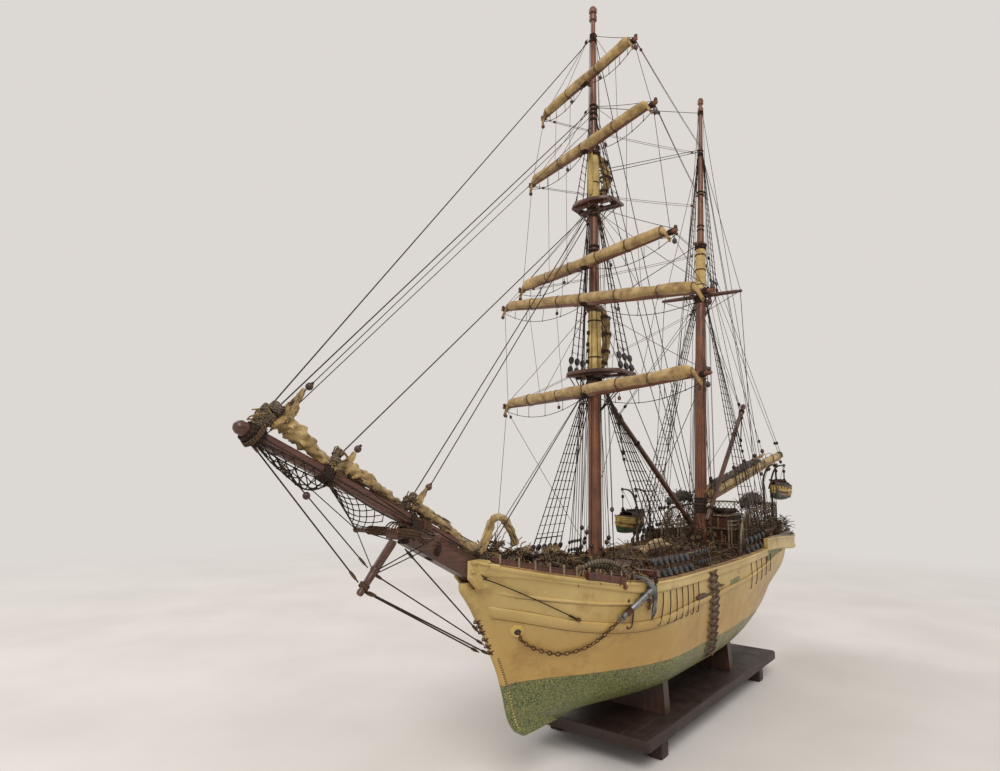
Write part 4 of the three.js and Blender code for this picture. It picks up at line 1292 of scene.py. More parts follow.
def collars(form, at, heights, radius, small=0.6, turns=1):
    """Turns of rope round a mast."""
    for z in heights:
        for k in range(turns):
            form.hoop(at(z + k * small * 1.9), at(z + 10) - at(z), radius, small, around=18, sides=6)


def mast(name, at, low, high, profile, stands_for):
    form = Form()
    form.lathe(at(low), at(high), profile, 28)
    piece(name, form, mast_wood, stands_for=stands_for)


def make_masts():
    """The five turned mast poles."""
    low, high = deck_height(FORE["x"]) + 0.3, FORE["cap"] - 6
    share = (FORE["top"] + 2 - low) / (high - low)
    mast("fore_mast_lower", fore_at, low, high,
         [(0, 8.9), (0.02, 8.9), (0.025, 8.5), (0.7, 7.7), (share, 7.2), (1, 6.6)], ("fore_lower_mast",))
    mast("fore_mast_topmast", fore_at, FORE["cap"] + 0.3, FORE["heads"],
         [(0, 6.4), (0.5, 5.9), (0.63, 5.6), (0.64, 6.2), (0.94, 5.9), (0.95, 7.2), (0.985, 7.2),
          (1, 6.4)], ("fore_topmast",))
    mast("fore_mast_topgallant", fore_at, FORE["heads"] + 0.3, FORE["truck"],
         [(0, 5), (0.4, 4.3), (0.74, 3.9), (0.745, 3.3), (0.9, 3.1), (0.905, 5.2), (0.935, 5.4),
          (0.94, 3), (0.955, 3), (0.962, 5.4), (0.985, 5.6), (1, 3.8)], ("fore_topgallant_mast",))
    mast("main_mast_lower", main_at, deck_height(MAIN["x"]) + 1.6, MAIN["cap"] - 5,
         [(0, 10), (0.3, 9.6), (0.7, 8.4), (0.8, 7.9), (1, 7.3)], ("main_lower_mast",))
    mast("main_mast_topmast", main_at, MAIN["cap"] + 1, MAIN["truck"],
         [(0, 6.3), (0.12, 5.4), (0.5, 4.4), (0.9, 3.5), (0.905, 5), (0.93, 5.2), (0.935, 3.2),
          (0.955, 3.1), (0.962, 5.1), (0.985, 5.4), (1, 3.6)], ("main_topmast",))


def make_mast_dressing():
    """The doublings, painted yellow where two spars stand together, and the lashings, caps and cheeks."""
    pale, bands = Form(), Form()
    pale.lathe(fore_at(446), fore_at(521.5), [(0, 7.9), (0.03, 8), (0.9, 7.6), (1, 7.4)], 24)
    pale.lathe(fore_at(447, 1), fore_at(527, 1), [(0, 0.5), (0.01, 8.2), (0.95, 7.9), (1, 7.7)], 24)
    pale.lathe(fore_at(672), fore_at(733), [(0, 7), (0.1, 7.4), (0.9, 7), (1, 6.2)], 24)
    pale.lathe(fore_at(676, -8.4), fore_at(748, -7.6), [(0, 1.6), (0.04, 3.6), (0.9, 3.4), (1, 2.4)], 16)
    pale.lathe(main_at(634), main_at(723), [(0, 8.9), (0.04, 9.2), (0.9, 8.4), (1, 8)], 24)
    piece("masthead_yellow", pale, mast_paint)
    for z in (461, 508):
        collars(bands, fore_at, [z], 8.3, 0.4, 2)
    collars(bands, fore_at, [694], 7.5, 0.4, 2)
    for z, y in ((493, 4.5), (478, 5.4), (470, 5), (456, 5.6)):
        middle = fore_at(z, -6.6, y)
        bands.planed(middle - Vector((2, 2.2, 2.6)), middle + Vector((2, 2.2, 2.6)), 0.9)
    collars(bands, fore_at, [436, 432], 8.2, 0.9, 3)
    collars(bands, fore_at, [522, 734, 742], 7.6, 0.9, 3)
    collars(bands, fore_at, [600, 606, 648, 654, 658], 6.4, 0.7, 3)
    collars(bands, fore_at, [783, 791, 797, 803], 4.9, 0.6, 3)
    collars(bands, fore_at, [899, 903, 907], 4.1, 0.6, 3)
    collars(bands, main_at, [256, 261, 266, 272, 277], 10.3, 0.75, 3)
    collars(bands, main_at, [648, 676, 704], 9.2, 0.5, 2)
    collars(bands, main_at, [618, 623], 9.4, 0.9, 3)
    collars(bands, main_at, [716, 722], 8.7, 0.9, 3)
    collars(bands, main_at, [752, 760, 820, 826], 6.1, 0.6, 2)
    collars(bands, main_at, [898, 902, 908, 984, 988], 4.7, 0.6, 3)
    piece("mast_lashings", bands, tarred)
    caps = Form()
    for at, z, fore, aft, wide, deep in ((fore_at, 525, -9.6, 9.6, 8.6, 3), (fore_at, 738, -13, 8, 7, 3),
                                         (main_at, 725.5, -13, 10, 9, 2.6)):
        middle = at(z)
        caps.planed(middle + Vector((fore, -wide, -deep)), middle + Vector((aft, wide, deep)), 1.2)
        caps.hoop(middle + Vector((0, 0, -deep - 0.6)), (0, 0, 1), wide - 0.4, 0.9, around=20)
    piece("mast_caps", caps, post_wood)
    # Fids, cheeks and cleats under each top.
    cheeks = Form()
    for at, z, reach, long in ((fore_at, 437, 7.4, 12), (fore_at, 661, 5.8, 8), (main_at, 622, 8, 12)):
        for side in SIDES:
            middle = at(z, 0, side * reach)
            cheeks.planed(middle + Vector((-long, -1.6, -2)), middle + Vector((long, 1.6, 2)), 0.7)
            cheeks.planed(middle + Vector((-3, -1.4, -14)), middle + Vector((3, 1.4, -1.5)), 1.2)
    piece("mast_cheeks", cheeks, post_wood)


def make_platform(name, at, z, half, fore, aft, hole, node, rim_gap):
    """A round-fronted platform of planks with a raised rim and open lubber holes."""
    middle = at(z - 2)
    form = Form()
    outline = [Vector((aft, -half, 0)), Vector((aft, half, 0)), Vector((0, half, 0))]
    outline += [Vector((-fore * sin(a), half * cos(a), 0)) for a in steps(0, pi, 18)[1:-1]]
    outline += [Vector((0, -half, 0))]
    ring = outline + outline[:1]

    def edge(scale_x, scale_y, up):
        return [middle + Vector((p.x * scale_x, p.y * scale_y, up)) for p in ring]

    form.grid([edge(1.03, 1.03, -1.8), edge(1.05, 1.04, 0), edge(1.02, 1.02, 2.3), edge(0.9, 0.9, 2.3),
               edge(0.88, 0.88, 0), edge(0.88, 0.88, -1.8), edge(1.03, 1.03, -1.8)])
    count = 9
    for i in range(count):
        y0, y1 = (mix(-0.86, 0.86, (i + k) / count) * half + (0.35 if k == 0 else -0.35) for k in (0, 1))
        y = (y0 + y1) / 2
        front = -fore * sqrt(max(0, 1 - (y / half) ** 2)) * 0.9
        gaps = []
        if abs(y) < hole + 1.2:
            gaps.append((-hole - 0.6, hole + 0.6))
        elif rim_gap[0] < abs(y) < rim_gap[1]:
            gaps.append((3.5, aft * 0.74))
        start = front
        for a, b in gaps + [(aft * 0.9, aft * 0.9)]:
            if a - start > 1.5:
                form.planed(middle + Vector((start, y0, -1.2)), middle + Vector((a, y1, 1.0)), 0.3)
            start = b
    for x in (-fore * 0.45, aft * 0.42):
        form.planed(middle + Vector((x - 1.5, -half * 0.94, -4.4)),
                    middle + Vector((x + 1.5, half * 0.94, -1.4)), 0.5)
    piece(name, form, post_wood, stands_for=(node,))


def make_tops():
    """The fore top, the fore crosstrees and the carved crosstrees of the mainmast."""
    make_platform("fore_top_planked", fore_at, FORE["top"], 38, 20, 36, 8.6, "fore_top", (11, 28))
    make_platform("fore_crosstrees_planked", fore_at, FORE["trees"], 30, 18, 24, 7.4, "fore_crosstrees",
                  (9, 22))
    form = Form()
    middle = main_at(MAIN["trees"])
    form.lathe(middle + Vector((-4, 70, 0)), middle + Vector((6, -70, 0)),
               [(0, 1.6), (0.01, 2.6), (0.05, 2.5), (0.06, 3.1), (0.5, 3.9), (0.94, 3.1), (0.95, 2.5),
                (0.99, 2.6), (1, 1.6)], 16)
    for side in SIDES:
        form.planed(middle + Vector((-20, side * 10.5 - 2, -3)),
                    middle + Vector((20, side * 10.5 + 2, 3)), 0.9)
    for x in (-17, 14):
        form.planed(middle + Vector((x - 2, -26, 0.5)), middle + Vector((x + 2, 26, 4)), 0.9)
    piece("main_crosstrees_carved", form, post_wood, stands_for=("main_crosstrees",))


make_masts()
make_mast_dressing()
make_tops()

# ---------------------------------------------------------------- yards and their furled sails


def yard_frame(name):
    spec = YARDS[name]
    turn = Matrix.Rotation(BRACED, 4, "Z") @ Matrix.Rotation(-radians(spec["lift"]), 4, "X")
    return Matrix.Translation((YARD_X, 0, spec["z"])) @ turn


def on_yard(name, y, ahead=0.0, up=0.0):
    """A place in a yard's own frame, in the ship's."""
    return yard_frame(name) @ Vector((-ahead, y, up))


def yard_body(name):
    return name + "_yard"


def moved(form, matrix):
    """The form with its points carried through a matrix."""
    form.points = [matrix @ Vector(p) for p in form.points]
    return form


class Roll:
    """The shape of a sail rolled on its yard, in the yard's own frame."""

    def __init__(self, name):
        spec = YARDS[name]
        self.seed = sum(map(ord, name))
        self.thick = spec["thick"]
        self.half = spec["half"] * 0.945
        rng = random.Random(self.seed)
        count = round(self.half * 2 / 52)
        self.ties = [mix(-0.95, 0.95, (i + rng.uniform(-0.12, 0.12)) / (count - 1)) * self.half
                     for i in range(count)]

    def size(self, y):
        """How full the roll is at a place along the yard."""
        end = 1 - 0.56 * smooth(abs(y), self.half * 0.88, self.half * 0.975)
        pinch = sum(exp(-((y - t) / 3.4) ** 2) for t in self.ties)
        swell = noise.noise(Vector((y * 0.03, self.seed, 2))) * 0.2
        return end * (0.8 + swell) * (1 - 0.1 * pinch)

    def middle(self, y):
        sway = noise.noise(Vector((y * 0.03, self.seed, 7))) * 1.4
        drop = -15 * smooth(abs(y), self.half * 0.91, self.half * 1.01) ** 1.6
        return Vector((-self.thick * 0.5 - 0.8, y, self.thick * 0.95 + 0.9 + sway * 0.5 + drop))

    def point(self, y, turn, radius):
        ridge = noise.noise(Vector((cos(turn) * 1.7, sin(turn) * 1.7, y * 0.028 + self.seed))) * 0.7
        fold = sin(3 * turn + y * 0.07 + 2.4 * noise.noise(Vector((y * 0.02, self.seed, 5)))) * 0.26
        crease = noise.noise(Vector((cos(turn) * 5, sin(turn) * 5, y * 0.16 + self.seed))) * 0.55
        r = (radius + 0.3 + ridge + fold + crease * 0.5) * self.size(y)
        return self.middle(y) + Vector((cos(turn) * r * 0.86, 0, sin(turn) * r * 1.12))


def make_yard(name):
    """A yard with its furled sail, gaskets, footropes and blocks, all riding on its own body."""
    body, frame_of = yard_body(name), yard_frame(name)
    roll, half, thick = Roll(name), YARDS[name]["half"], YARDS[name]["thick"]
    pole = Form()
    profile = [(0, 1.4), (0.006, 2.3), (0.035, 2.5), (0.04, 3.0), (0.05, 3.0), (0.055, 2.6),
               (0.25, thick * 0.87), (0.44, thick), (0.445, thick + 0.7), (0.455, thick + 0.7),
               (0.46, thick), (0.54, thick), (0.545, thick + 0.7), (0.555, thick + 0.7), (0.56, thick),
               (0.75, thick * 0.87), (0.945, 2.6), (0.95, 3.0), (0.96, 3.0), (0.965, 2.5), (0.994, 2.3),
               (1, 1.4)]
    pole.lathe((0, half, 0), (0, -half, 0), profile, 20)
    pole.lathe((-1, 0, 0), (9.6, 0, 0), [(0, 2.4), (0.5, 1.9), (0.8, 2.6), (1, 2.6)], 12)
    piece(f"{name}_yard_pole", moved(pole, frame_of), yard_wood, body, stands_for=("yard_" + name,))

    # Two turns of cloth, wound outwards.
    rows, wind = [], 2.0
    across = 60
    count = max(40, round(roll.half / 1.7))
    for y in steps(-roll.half, roll.half, count):
        rows.append([roll.point(y, tau * (wind * k / across) - 1.2, mix(3.6, 6.9, k / across))
                     for k in range(across + 1)])
    cloth = Form()
    cloth.grid(rows)
    made = piece(f"{name}_sail_furled", moved(cloth, frame_of), tan_cloth, body, angle=70, thick=0.45,
                 offset=0, stands_for=("furled_" + name,))

    gaskets = Form()
    for y in roll.ties:
        for d in (-0.55, 0.55):
            path = [roll.point(y + d, t, 7.3) for t in steps(radians(-50), radians(215), 15)]
            path += [Vector((-thick * 0.3 - 1.5, y + d, -thick - 0.6)),
                     Vector((thick * 0.8, y + d, -thick * 0.7))]
            path += [path[0]]
            gaskets.tube(path, 0.28, 5)
    for i, y in enumerate(roll.ties):
        if i % 2:
            gaskets.line(roll.point(y, radians(200), 7.2), roll.point(y, radians(200), 7.2)
                         + Vector((-0.5, 1.5, -6.5)), 0.4)
    piece(f"{name}_gaskets", moved(gaskets, frame_of), brown_line, body)

    # Footropes with their stirrups, and the beads and blocks that hang at the yardarms and quarters.
    ropes, blocks = Form(), Form()
    for s in (-1, 1):
        deep = 7 + half * 0.045
        path = [Vector((1.5, s * mix(0.06, 0.965, t) * half, -thick - deep * sin(pi * t) ** 0.8))
                for t in steps(0, 1, 18)]
        ropes.tube(path, 0.42, 5)
        for t in (4, 8, 12, 15):
            p = path[t]
            ropes.line((1.5, p.y, -thick * 0.9), p, 0.36)
            ropes.ball(p, 0.9)
        end = Vector((0, s * half * 0.972, -2.4))
        ropes.line(end, end + Vector((0, 0, -7)), 0.42)
        blocks.ball(end + Vector((0, 0, -9)), 2.7, long=1.2, sides=12, rings=7)
        blocks.ball(Vector((0, s * half * 0.982, 3.6)), 2.3, long=1.2, sides=10, rings=6)
        inner = Vector((1, s * half * 0.3, -thick - 1))
        ropes.line(inner, inner + Vector((0, 0, -4)), 0.42)
        blocks.ball(inner + Vector((0, 0, -6)), 2.2, long=1.2, sides=10, rings=6)
        for k in range(5):
            ropes.hoop((0, s * (half * 0.955 - k * 1.1), 0), (0, 1, 0), 3.1, 0.55, around=12, sides=5)
    for k in range(8):
        ropes.hoop((0, (k - 3.5) * 1.3, 0), (0, 1, 0), thick + 0.5, 0.65, around=14, sides=6)
    piece(f"{name}_footropes", moved(ropes, frame_of), tarred, body)
    piece(f"{name}_blocks", moved(blocks, frame_of), block_wood, body)


for yard in YARDS:
    make_yard(yard)

# ---------------------------------------------------------------- bowsprit, jibboom and what hangs from them


def beam(form, a, b, first, last, edge=0.22):
    """A squared spar whose section (half width, half height) tapers from first to last."""
    a, b = Vector(a), Vector(b)
    ahead = (b - a).normalized()
    side = ahead.cross(Vector((0, 0, 1))).normalized()
    up = side.cross(ahead)
    rows = []
    for t in steps(0, 1, 10):
        w, h = mix(first[0], last[0], t), mix(first[1], last[1], t)
        c = min(w, h) * edge
        ring = [(w, h - c), (w - c, h), (c - w, h), (-w, h - c), (-w, c - h), (c - w, -h), (w - c, -h),
                (w, c - h)]
        rows.append([a.lerp(b, t) + side * u + up * v for u, v in ring])
    form.grid(rows, closed=True, caps=True)


def make_bowsprit():
    """The bowsprit, jibboom, striker and spreader with their lashings."""
    form = Form()
    beam(form, (-420, 0, 215.5), BOWSPRIT_END, (8.2, 9.6), (6.6, 6.4))
    beam(form, (-430, 0, 231), (-520, 0, 265), (5, 3), (4.4, 2.4))
    form.ball((-437, 0, 209), 3.2)
    piece("bowsprit_squared", form, spar_wood, stands_for=("bowsprit",))
    boom = Form()
    beam(boom, JIBBOOM["heel"], on_jib(0.94), (4.8, 5), (4.2, 4.4), 0.3)
    boom.lathe(on_jib(0.925), on_jib(1), [(0, 5), (0.1, 5.6), (0.2, 5.6), (0.25, 4.9), (0.55, 5.1),
                                          (0.8, 4.9), (0.93, 3.6), (1, 1.6)], 20)
    piece("jibboom_squared", boom, boom_wood, stands_for=("jibboom",))
    post = Form()
    top, end = Vector(STRIKER["top"]), Vector(STRIKER["end"])
    post.lathe(top, end, [(0, 3.3), (0.05, 3.6), (0.5, 3.3), (0.52, 3.9), (0.56, 3.9), (0.58, 3.2),
                          (0.8, 3.0), (0.82, 3.6), (0.86, 3.6), (0.88, 2.6), (0.95, 3.0), (0.99, 2.4),
                          (1, 1)], 16)
    piece("striker_turned", post, spar_wood, stands_for=("dolphin_striker",))
    arm = Form()
    for side in SIDES:
        a = Vector((SPREADER["x"], side * 4, 265))
        b = Vector((SPREADER["x"], side * SPREADER["half"], 264))
        arm.lathe(a, b, [(0, 2.8), (0.5, 2.6), (0.93, 2.2), (0.94, 2.9), (0.99, 2.7), (1, 1.6)], 12)
    arm.planed((SPREADER["x"] - 4, -7, 259), (SPREADER["x"] + 4, 7, 267.5), 1)
    piece("spreader_turned", arm, spar_wood, stands_for=("whisker_spreader",))

    # Lashings: the boom's gammonings, the wrapped tip and the untidy turns at the bowsprit's end.
    wraps, loose = Form(), Form()
    rng = random.Random(4)

    def turns(form, at, ahead, count, wide, high, rope, spread):
        ahead = Vector(ahead).normalized()
        side = ahead.cross(Vector((0, 0, 1))).normalized()
        up = side.cross(ahead)
        path = []
        for i in range(count * 14):
            a = tau * i / 14
            run = (i / (count * 14) - 0.5) * spread + rng.uniform(-0.3, 0.3)
            wob = 1 + rng.uniform(-0.03, 0.05)
            path.append(Vector(at) + ahead * run + (side * cos(a) * wide + up * sin(a) * high) * wob)
        form.tube(path, rope, 5)

    way = on_jib(1) - on_jib(0)
    turns(wraps, on_jib(0.93), way, 9, 6.4, 6.6, 0.8, 9)
    turns(wraps, on_jib(0.955), way, 3, 6.4, 6.4, 0.9, 3)
    turns(loose, on_jib(0.935), way + Vector((0, 0, 60)), 3, 8.4, 9, 0.6, 4)
    turns(wraps, on_jib(0.665), way, 8, 5.8, 6, 0.75, 8)
    turns(loose, on_jib(0.63), way, 4, 6.6, 7, 0.6, 6)
    turns(wraps, on_jib(0.26), way, 7, 5.8, 6, 0.75, 7)
    turns(wraps, (-521, 0, 266), way, 8, 8.4, 11.5, 0.8, 9)
    turns(loose, (-508, 0, 262), way, 5, 9.4, 12.5, 0.65, 12)
    turns(loose, (-534, 0, 266), (0, 1, 0.1), 5, 7, 6, 0.65, 16)
    turns(wraps, (-492, 0, 247), way, 5, 8.2, 8.6, 0.6, 6)
    for side in SIDES:
        turns(loose, (SPREADER["x"], side * 20, 264.6), (0, 1, 0), 12, 3.4, 3.4, 0.5, 24)
    turns(loose, Vector(STRIKER["end"]) + Vector((5, 0, 6)), end - top, 4, 3.9, 3.9, 0.5, 4)
    piece("bowsprit_lashings", wraps, tarred)
    piece("bowsprit_loose_turns", loose, brown_line)
    beads = Form()
    for at in ((-627, 0, 375), (-579, 0, 331), (-498, 0, 301)):
        beads.ball(at, 3.0, sides=16, rings=9)
        beads.ball(Vector(at) + Vector((2.6, 0, 2.6)), 1.3)
    beads.ball((-624.5, 0, 295.5), 2.9, sides=12, rings=7)
    piece("stay_beads", beads, block_wood)
    hanks, ribbons = Form(), Form()
    for stay, low, high, wide in (("stay_royal", 0.003, 0.024, 3.0),
                                  ("stay_topgallant_upper", 0.0, 0.034, 4.6),
                                  ("stay_jib", 0.0, 0.030, 3.9), ("stay_jib_inner", 0.0, 0.034, 3.3)):
        top, foot = (Vector(p) for p in HEAD_STAYS[stay])
        for k in range(3):
            share = mix(low, high, (k + 0.5) / 3)
            way = top - foot + Vector((rng.uniform(-60, 60), rng.uniform(-90, 90), rng.uniform(-60, 60)))
            at = foot.lerp(top, share) + Vector((rng.uniform(-1, 1), rng.uniform(-1.5, 1.5),
                                                 rng.uniform(-0.5, 1.5)))
            run = (high - low) * (top - foot).length / 3
            turns(hanks, at, way, 5, wide * rng.uniform(0.75, 1.1), wide * rng.uniform(0.8, 1.15), 0.72,
                  run)
        for k in range(9):
            at = foot.lerp(top, rng.uniform(low, high))
            spots = [at + Vector([rng.uniform(-6, 6) for _ in range(3)]) for _ in range(4)]
            ribbons.tube(curve(spots, 4), 0.5, 5)
    piece("stay_hank_ribbons", ribbons, twig)
    piece("stay_hank_coils", hanks, grey_rope)


def diamonds(form, at, long, wide, rope, knots=True):
    """A diamond mesh over a surface given by at(s, t), s and t from 0 to 1."""
    spots = {}
    for i in range(long + 1):
        for k in range(wide + 1):
            if (i + k) % 2 == 0:
                spots[i, k] = at(i / long, k / wide)
                if knots:
                    form.ball(spots[i, k], rope * 1.9, sides=6, rings=4)
    for (i, k), p in spots.items():
        for d in (-1, 1):
            if (i + 1, k + d) in spots:
                q = spots[i + 1, k + d]
                form.tube([p, p.lerp(q, 0.5) - Vector((0, 0, 0.3)), q], rope, 5)


def make_nets():
    """The hammock net under the jibboom, the starboard wing net, and the bowsprit's guys and footropes."""
    nets = Form()
    depth = [(-668, 0.5), (-663, 2), (-656, 7.4), (-639, 12.2), (-626, 15.7), (-615, 10), (-604, 1)]

    def hammock(t, s):
        x = mix(-668, -604, t)
        u = 2 * s - 1
        boom = on_jib((x - JIBBOOM["heel"][0]) / (JIBBOOM["end"][0] - JIBBOOM["heel"][0]))
        drop = sheer(depth, x, 5)
        return Vector((x, u * (4.5 + drop * 0.5), boom.z - 4 - drop * (1 - abs(u) ** 2.4)))

    diamonds(nets, hammock, 16, 8, 0.42)
    for s in (0.0, 1.0):
        nets.tube([hammock(t, s) for t in steps(0, 1, 16)], 0.5, 5)
    for side in SIDES:
        apex = on_jib(0.64, -4, side * 4.5)
        tip = Vector((SPREADER["x"], side * 49, 263.5))
        root = Vector((-541, side * 4, 277))

        def wing(t, s):
            inner = apex.lerp(root, t)
            outer = apex.lerp(tip, t) - Vector((0, side * 4.5 * sin(pi * t), 3 * sin(pi * t)))
            return inner.lerp(outer, s) - Vector((0, 0, 3.5 * sin(pi * s) * t))

        if side == STARBOARD:
            diamonds(nets, wing, 13, 6, 0.42)
        nets.tube([wing(t, 1) for t in steps(0, 1, 14)], 0.6, 5)
    piece("bow_nets", nets, tarred)
    guys = Form()
    for side in SIDES:
        tip = Vector((SPREADER["x"], side * 48.5, 264))
        guys.line(on_jib(0.935, 0, side * 4), tip, 0.42)
        guys.line(on_jib(0.64, 0, side * 4), tip, 0.42)
        guys.line(tip, Vector(STRIKER["end"]) + Vector((14, 0, 16)), 0.42)
        guys.line(tip, (-431, side * 30, 231), 0.45)
        guys.line(Vector(STRIKER["end"]) + Vector((12, side * 2, 14)), (-494, side * 7, 252), 0.5)
    # Footropes and jackstays run along the boom's top.
    for side in SIDES:
        guys.line(on_jib(0.63, 9, side * 2.5), (-448, side * 6, 243), 0.42, sag=1.2)
        guys.line(on_jib(0.6, 7, side * 3.5), (-450, side * 8, 240), 0.36, sag=2)
        guys.line(on_jib(0.3, 12, side * 1.5), (-440, side * 4, 250), 0.4, sag=1)
    piece("bowsprit_guys", guys, tarred)


# ---------------------------------------------------------------- gathered headsails


class Bunt:
    """A sail gathered in a crumpled twist along a path."""

    def __init__(self, seed, wind=1.7, rough=1.0):
        self.seed, self.wind, self.rough = seed, wind, rough

    def rows(self, path, radii, fine=5, across=46):
        path = curve(path, fine)
        last = len(radii) - 1
        rows = []
        for i, p, side, up, run in carried(path):
            stop, part = i // fine, i % fine / fine
            full = radii[min(stop, last)] * (1 - part) + radii[min(stop + 1, last)] * part
            row = []
            for k in range(across + 1):
                a = tau * self.wind * k / across
                spot = Vector((cos(a), sin(a), run * 0.11 + self.seed * 3.7))
                lump = sum(noise.noise(spot * fine_by) * much
                           for fine_by, much in ((1.3, 0.5), (3.6, 0.34), (8, 0.14)))
                ribs = sin(5 * a + run * 0.55 + 2.2 * noise.noise(spot * 0.9))
                swell = 1 + self.rough * (lump + 0.17 * ribs - 0.12 * abs(ribs))
                r = full * mix(0.55, 0.95, k / across) * swell
                row.append(p + (side * cos(a) + up * sin(a)) * r)
            rows.append(row)
        return rows


def sheet_size(rows):
    """The cut size in metres of a cloth whose rows run across it: its length, and its area over that."""
    middle = len(rows[0]) // 2
    long = sum((b[middle] - a[middle]).length for a, b in zip(rows, rows[1:]))
    area = 0.0
    for near, far in zip(rows, rows[1:]):
        for a, b, c, d in zip(near, near[1:], far[1:], far):
            area += ((b - a).cross(c - a).length + (c - a).cross(d - a).length) / 2
    return long * MM, area / long * MM


def cloth(name, rows, body="ship", held="gathered", rests_on=(), stands_for=(), matrix=None,
          material=None):
    """A thin sheet of cloth through rows of points."""
    form = Form()
    form.grid(rows)
    if matrix:
        moved(form, matrix)
    made = piece(name, form, material or bunt_cloth, body, angle=75, thick=0.4, offset=0,
                 stands_for=stands_for)
    sheet_size(rows)
    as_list(rests_on)


cover_cloth = sail_cloth("dark_boat_cover", (36, 28, 22), (64, 52, 42), (96, 80, 64), (28, 22, 18))
spanker_wood = wood("spanker_spars", "spar_wood", (88, 62, 36), (134, 102, 60), (164, 132, 84),
                    along("X"))


def make_headsails():
    """The headsails and staysails, gathered in bundles on the spars they belong to."""
    outer = [(-657, 0, 343.5), (-650, 0, 347), (-643, 0, 346.5), (-636, 0, 341), (-628, 0, 334.5),
             (-620, 0, 328.5), (-611, 0, 322.5), (-601, 0, 317), (-590, 0, 311.5)]
    cloth("flying_jib_furled", Bunt(1).rows(outer, [2.2, 5.6, 7.8, 7.4, 6.4, 5.6, 4.8, 4.2, 3.2]),
          rests_on=("jibboom_squared",), stands_for=("furled_headsails",))
    cloth("flying_jib_head", Bunt(2, 1.4).rows([(-649, 0, 347), (-644.5, 0, 353), (-640, 0, 358.5),
                                                (-636, 0, 365), (-631, 0, 372.5)], [6, 6, 4.6, 3.2, 1.6]),
          rests_on=("flying_jib_furled",))
    middle = [(-600, 0, 315.5), (-592, 0, 317), (-585, 0, 314.5), (-577, 0, 311), (-566.5, 0, 306),
              (-555, 0, 298.5), (-543, 0, 292), (-531, 0, 286)]
    cloth("jib_furled", Bunt(3).rows(middle, [2.4, 6, 6.6, 6, 5.6, 4.8, 4.4, 2.6]),
          rests_on=("jibboom_squared",))
    cloth("jib_head", Bunt(4, 1.4).rows([(-591, 0, 315), (-588, 0, 319), (-585.3, 0, 323),
                                         (-581.8, 0, 328)], [5.6, 4.8, 3.2, 1.4]),
          rests_on=("jib_furled",))
    inner = [(-520, 0, 283), (-511, 0, 284), (-503, 0, 280), (-495, 0, 276.4), (-481, 0, 269.7),
             (-467, 0, 261.3), (-455, 0, 253), (-442, 0, 246)]
    cloth("fore_staysail_furled", Bunt(5).rows(inner, [2.4, 5, 5.4, 5, 4.8, 4.8, 4.4, 3]),
          rests_on=("jibboom_squared",))
    cloth("fore_staysail_head", Bunt(6, 1.4).rows([(-512, 0, 284.5), (-508.5, 0, 289.5), (-505, 0, 294),
                                                   (-500.4, 0, 300)], [4.6, 3.8, 2.8, 1.4]),
          rests_on=("fore_staysail_furled",))
    arch = [(-431, -2, 238), (-424, -2, 246), (-416, -2, 258), (-408, -1, 268), (-400, 0, 271),
            (-390, 0, 269), (-381, 0, 261), (-374, 0, 251), (-370, 0, 243)]
    cloth("arched_staysail_bundle", Bunt(7).rows(arch, [4.6, 4.4, 4.6, 4.2, 4, 4.2, 4.2, 3.8, 4.8]),
          rests_on=("bowsprit_squared",))
    foot = [(-468, 3, 257), (-455, 3, 252), (-442, 3, 247), (-430, 2, 243), (-418, 1, 240)]
    cloth("bowsprit_sail_heap", Bunt(8).rows(foot, [3, 5, 6, 6, 4]), rests_on=("bowsprit_squared",))
    # Staysails stowed abaft the foremast: a ribbed fan at the doubling and a long bundle over the top.
    fan = [(-192, 0, 739), (-180, 0, 734), (-171, 0, 724), (-167, 0, 712), (-171, 0, 698), (-182, 0, 687)]
    cloth("topgallant_staysail_bundle", Bunt(9).rows(fan, [2.4, 5.4, 6.8, 7, 5.6, 3]),
          rests_on=("fore_mast_topmast",))
    long = [(-190, 0, 531), (-178, 0, 522), (-173, 0, 505), (-174, 0, 485), (-177, 0, 466),
            (-185, 0, 451)]
    cloth("topmast_staysail_bundle", Bunt(10).rows(long, [3, 6, 6.6, 5.8, 5.2, 3.4]),
          rests_on=("fore_mast_lower",))
    ties = Form()
    for (x, z), r in (((-177, 731), 7), ((-169, 712), 8.4), ((-177, 691), 6), ((-176, 517), 7.4),
                      ((-174, 495), 7.4), ((-176, 472), 6.6), ((-182, 456), 5.4)):
        for k in range(3):
            ties.hoop((x, 0, z + k * 1.3), (0.15, 0, 1), r, 0.5, around=16)
        ties.line((x - 3, 0, z), fore_at(z, 5), 0.5)
    piece("staysail_ties", ties, tarred)


make_bowsprit()
make_nets()
make_headsails()

# ---------------------------------------------------------------- standing rigging


def deadeye(form, at, axis, size, thick):
    """A grooved disc with its lanyard's three knots; axis points out of its face."""
    axis = Vector(axis).normalized()
    a, b = Vector(at) - axis * thick / 2, Vector(at) + axis * thick / 2
    form.lathe(a, b, [(0, size * 0.5), (0.06, size * 0.84), (0.2, size), (0.42, size), (0.5, size * 0.88),
                      (0.58, size), (0.8, size), (0.94, size * 0.84), (1, size * 0.5)], 14)
    side = axis.orthogonal().normalized()
    up = axis.cross(side)
    for k in range(3):
        t = pi / 2 + tau * k / 3
        form.ball(b + (side * cos(t) + up * sin(t)) * size * 0.42, size * 0.17, sides=6, rings=4)


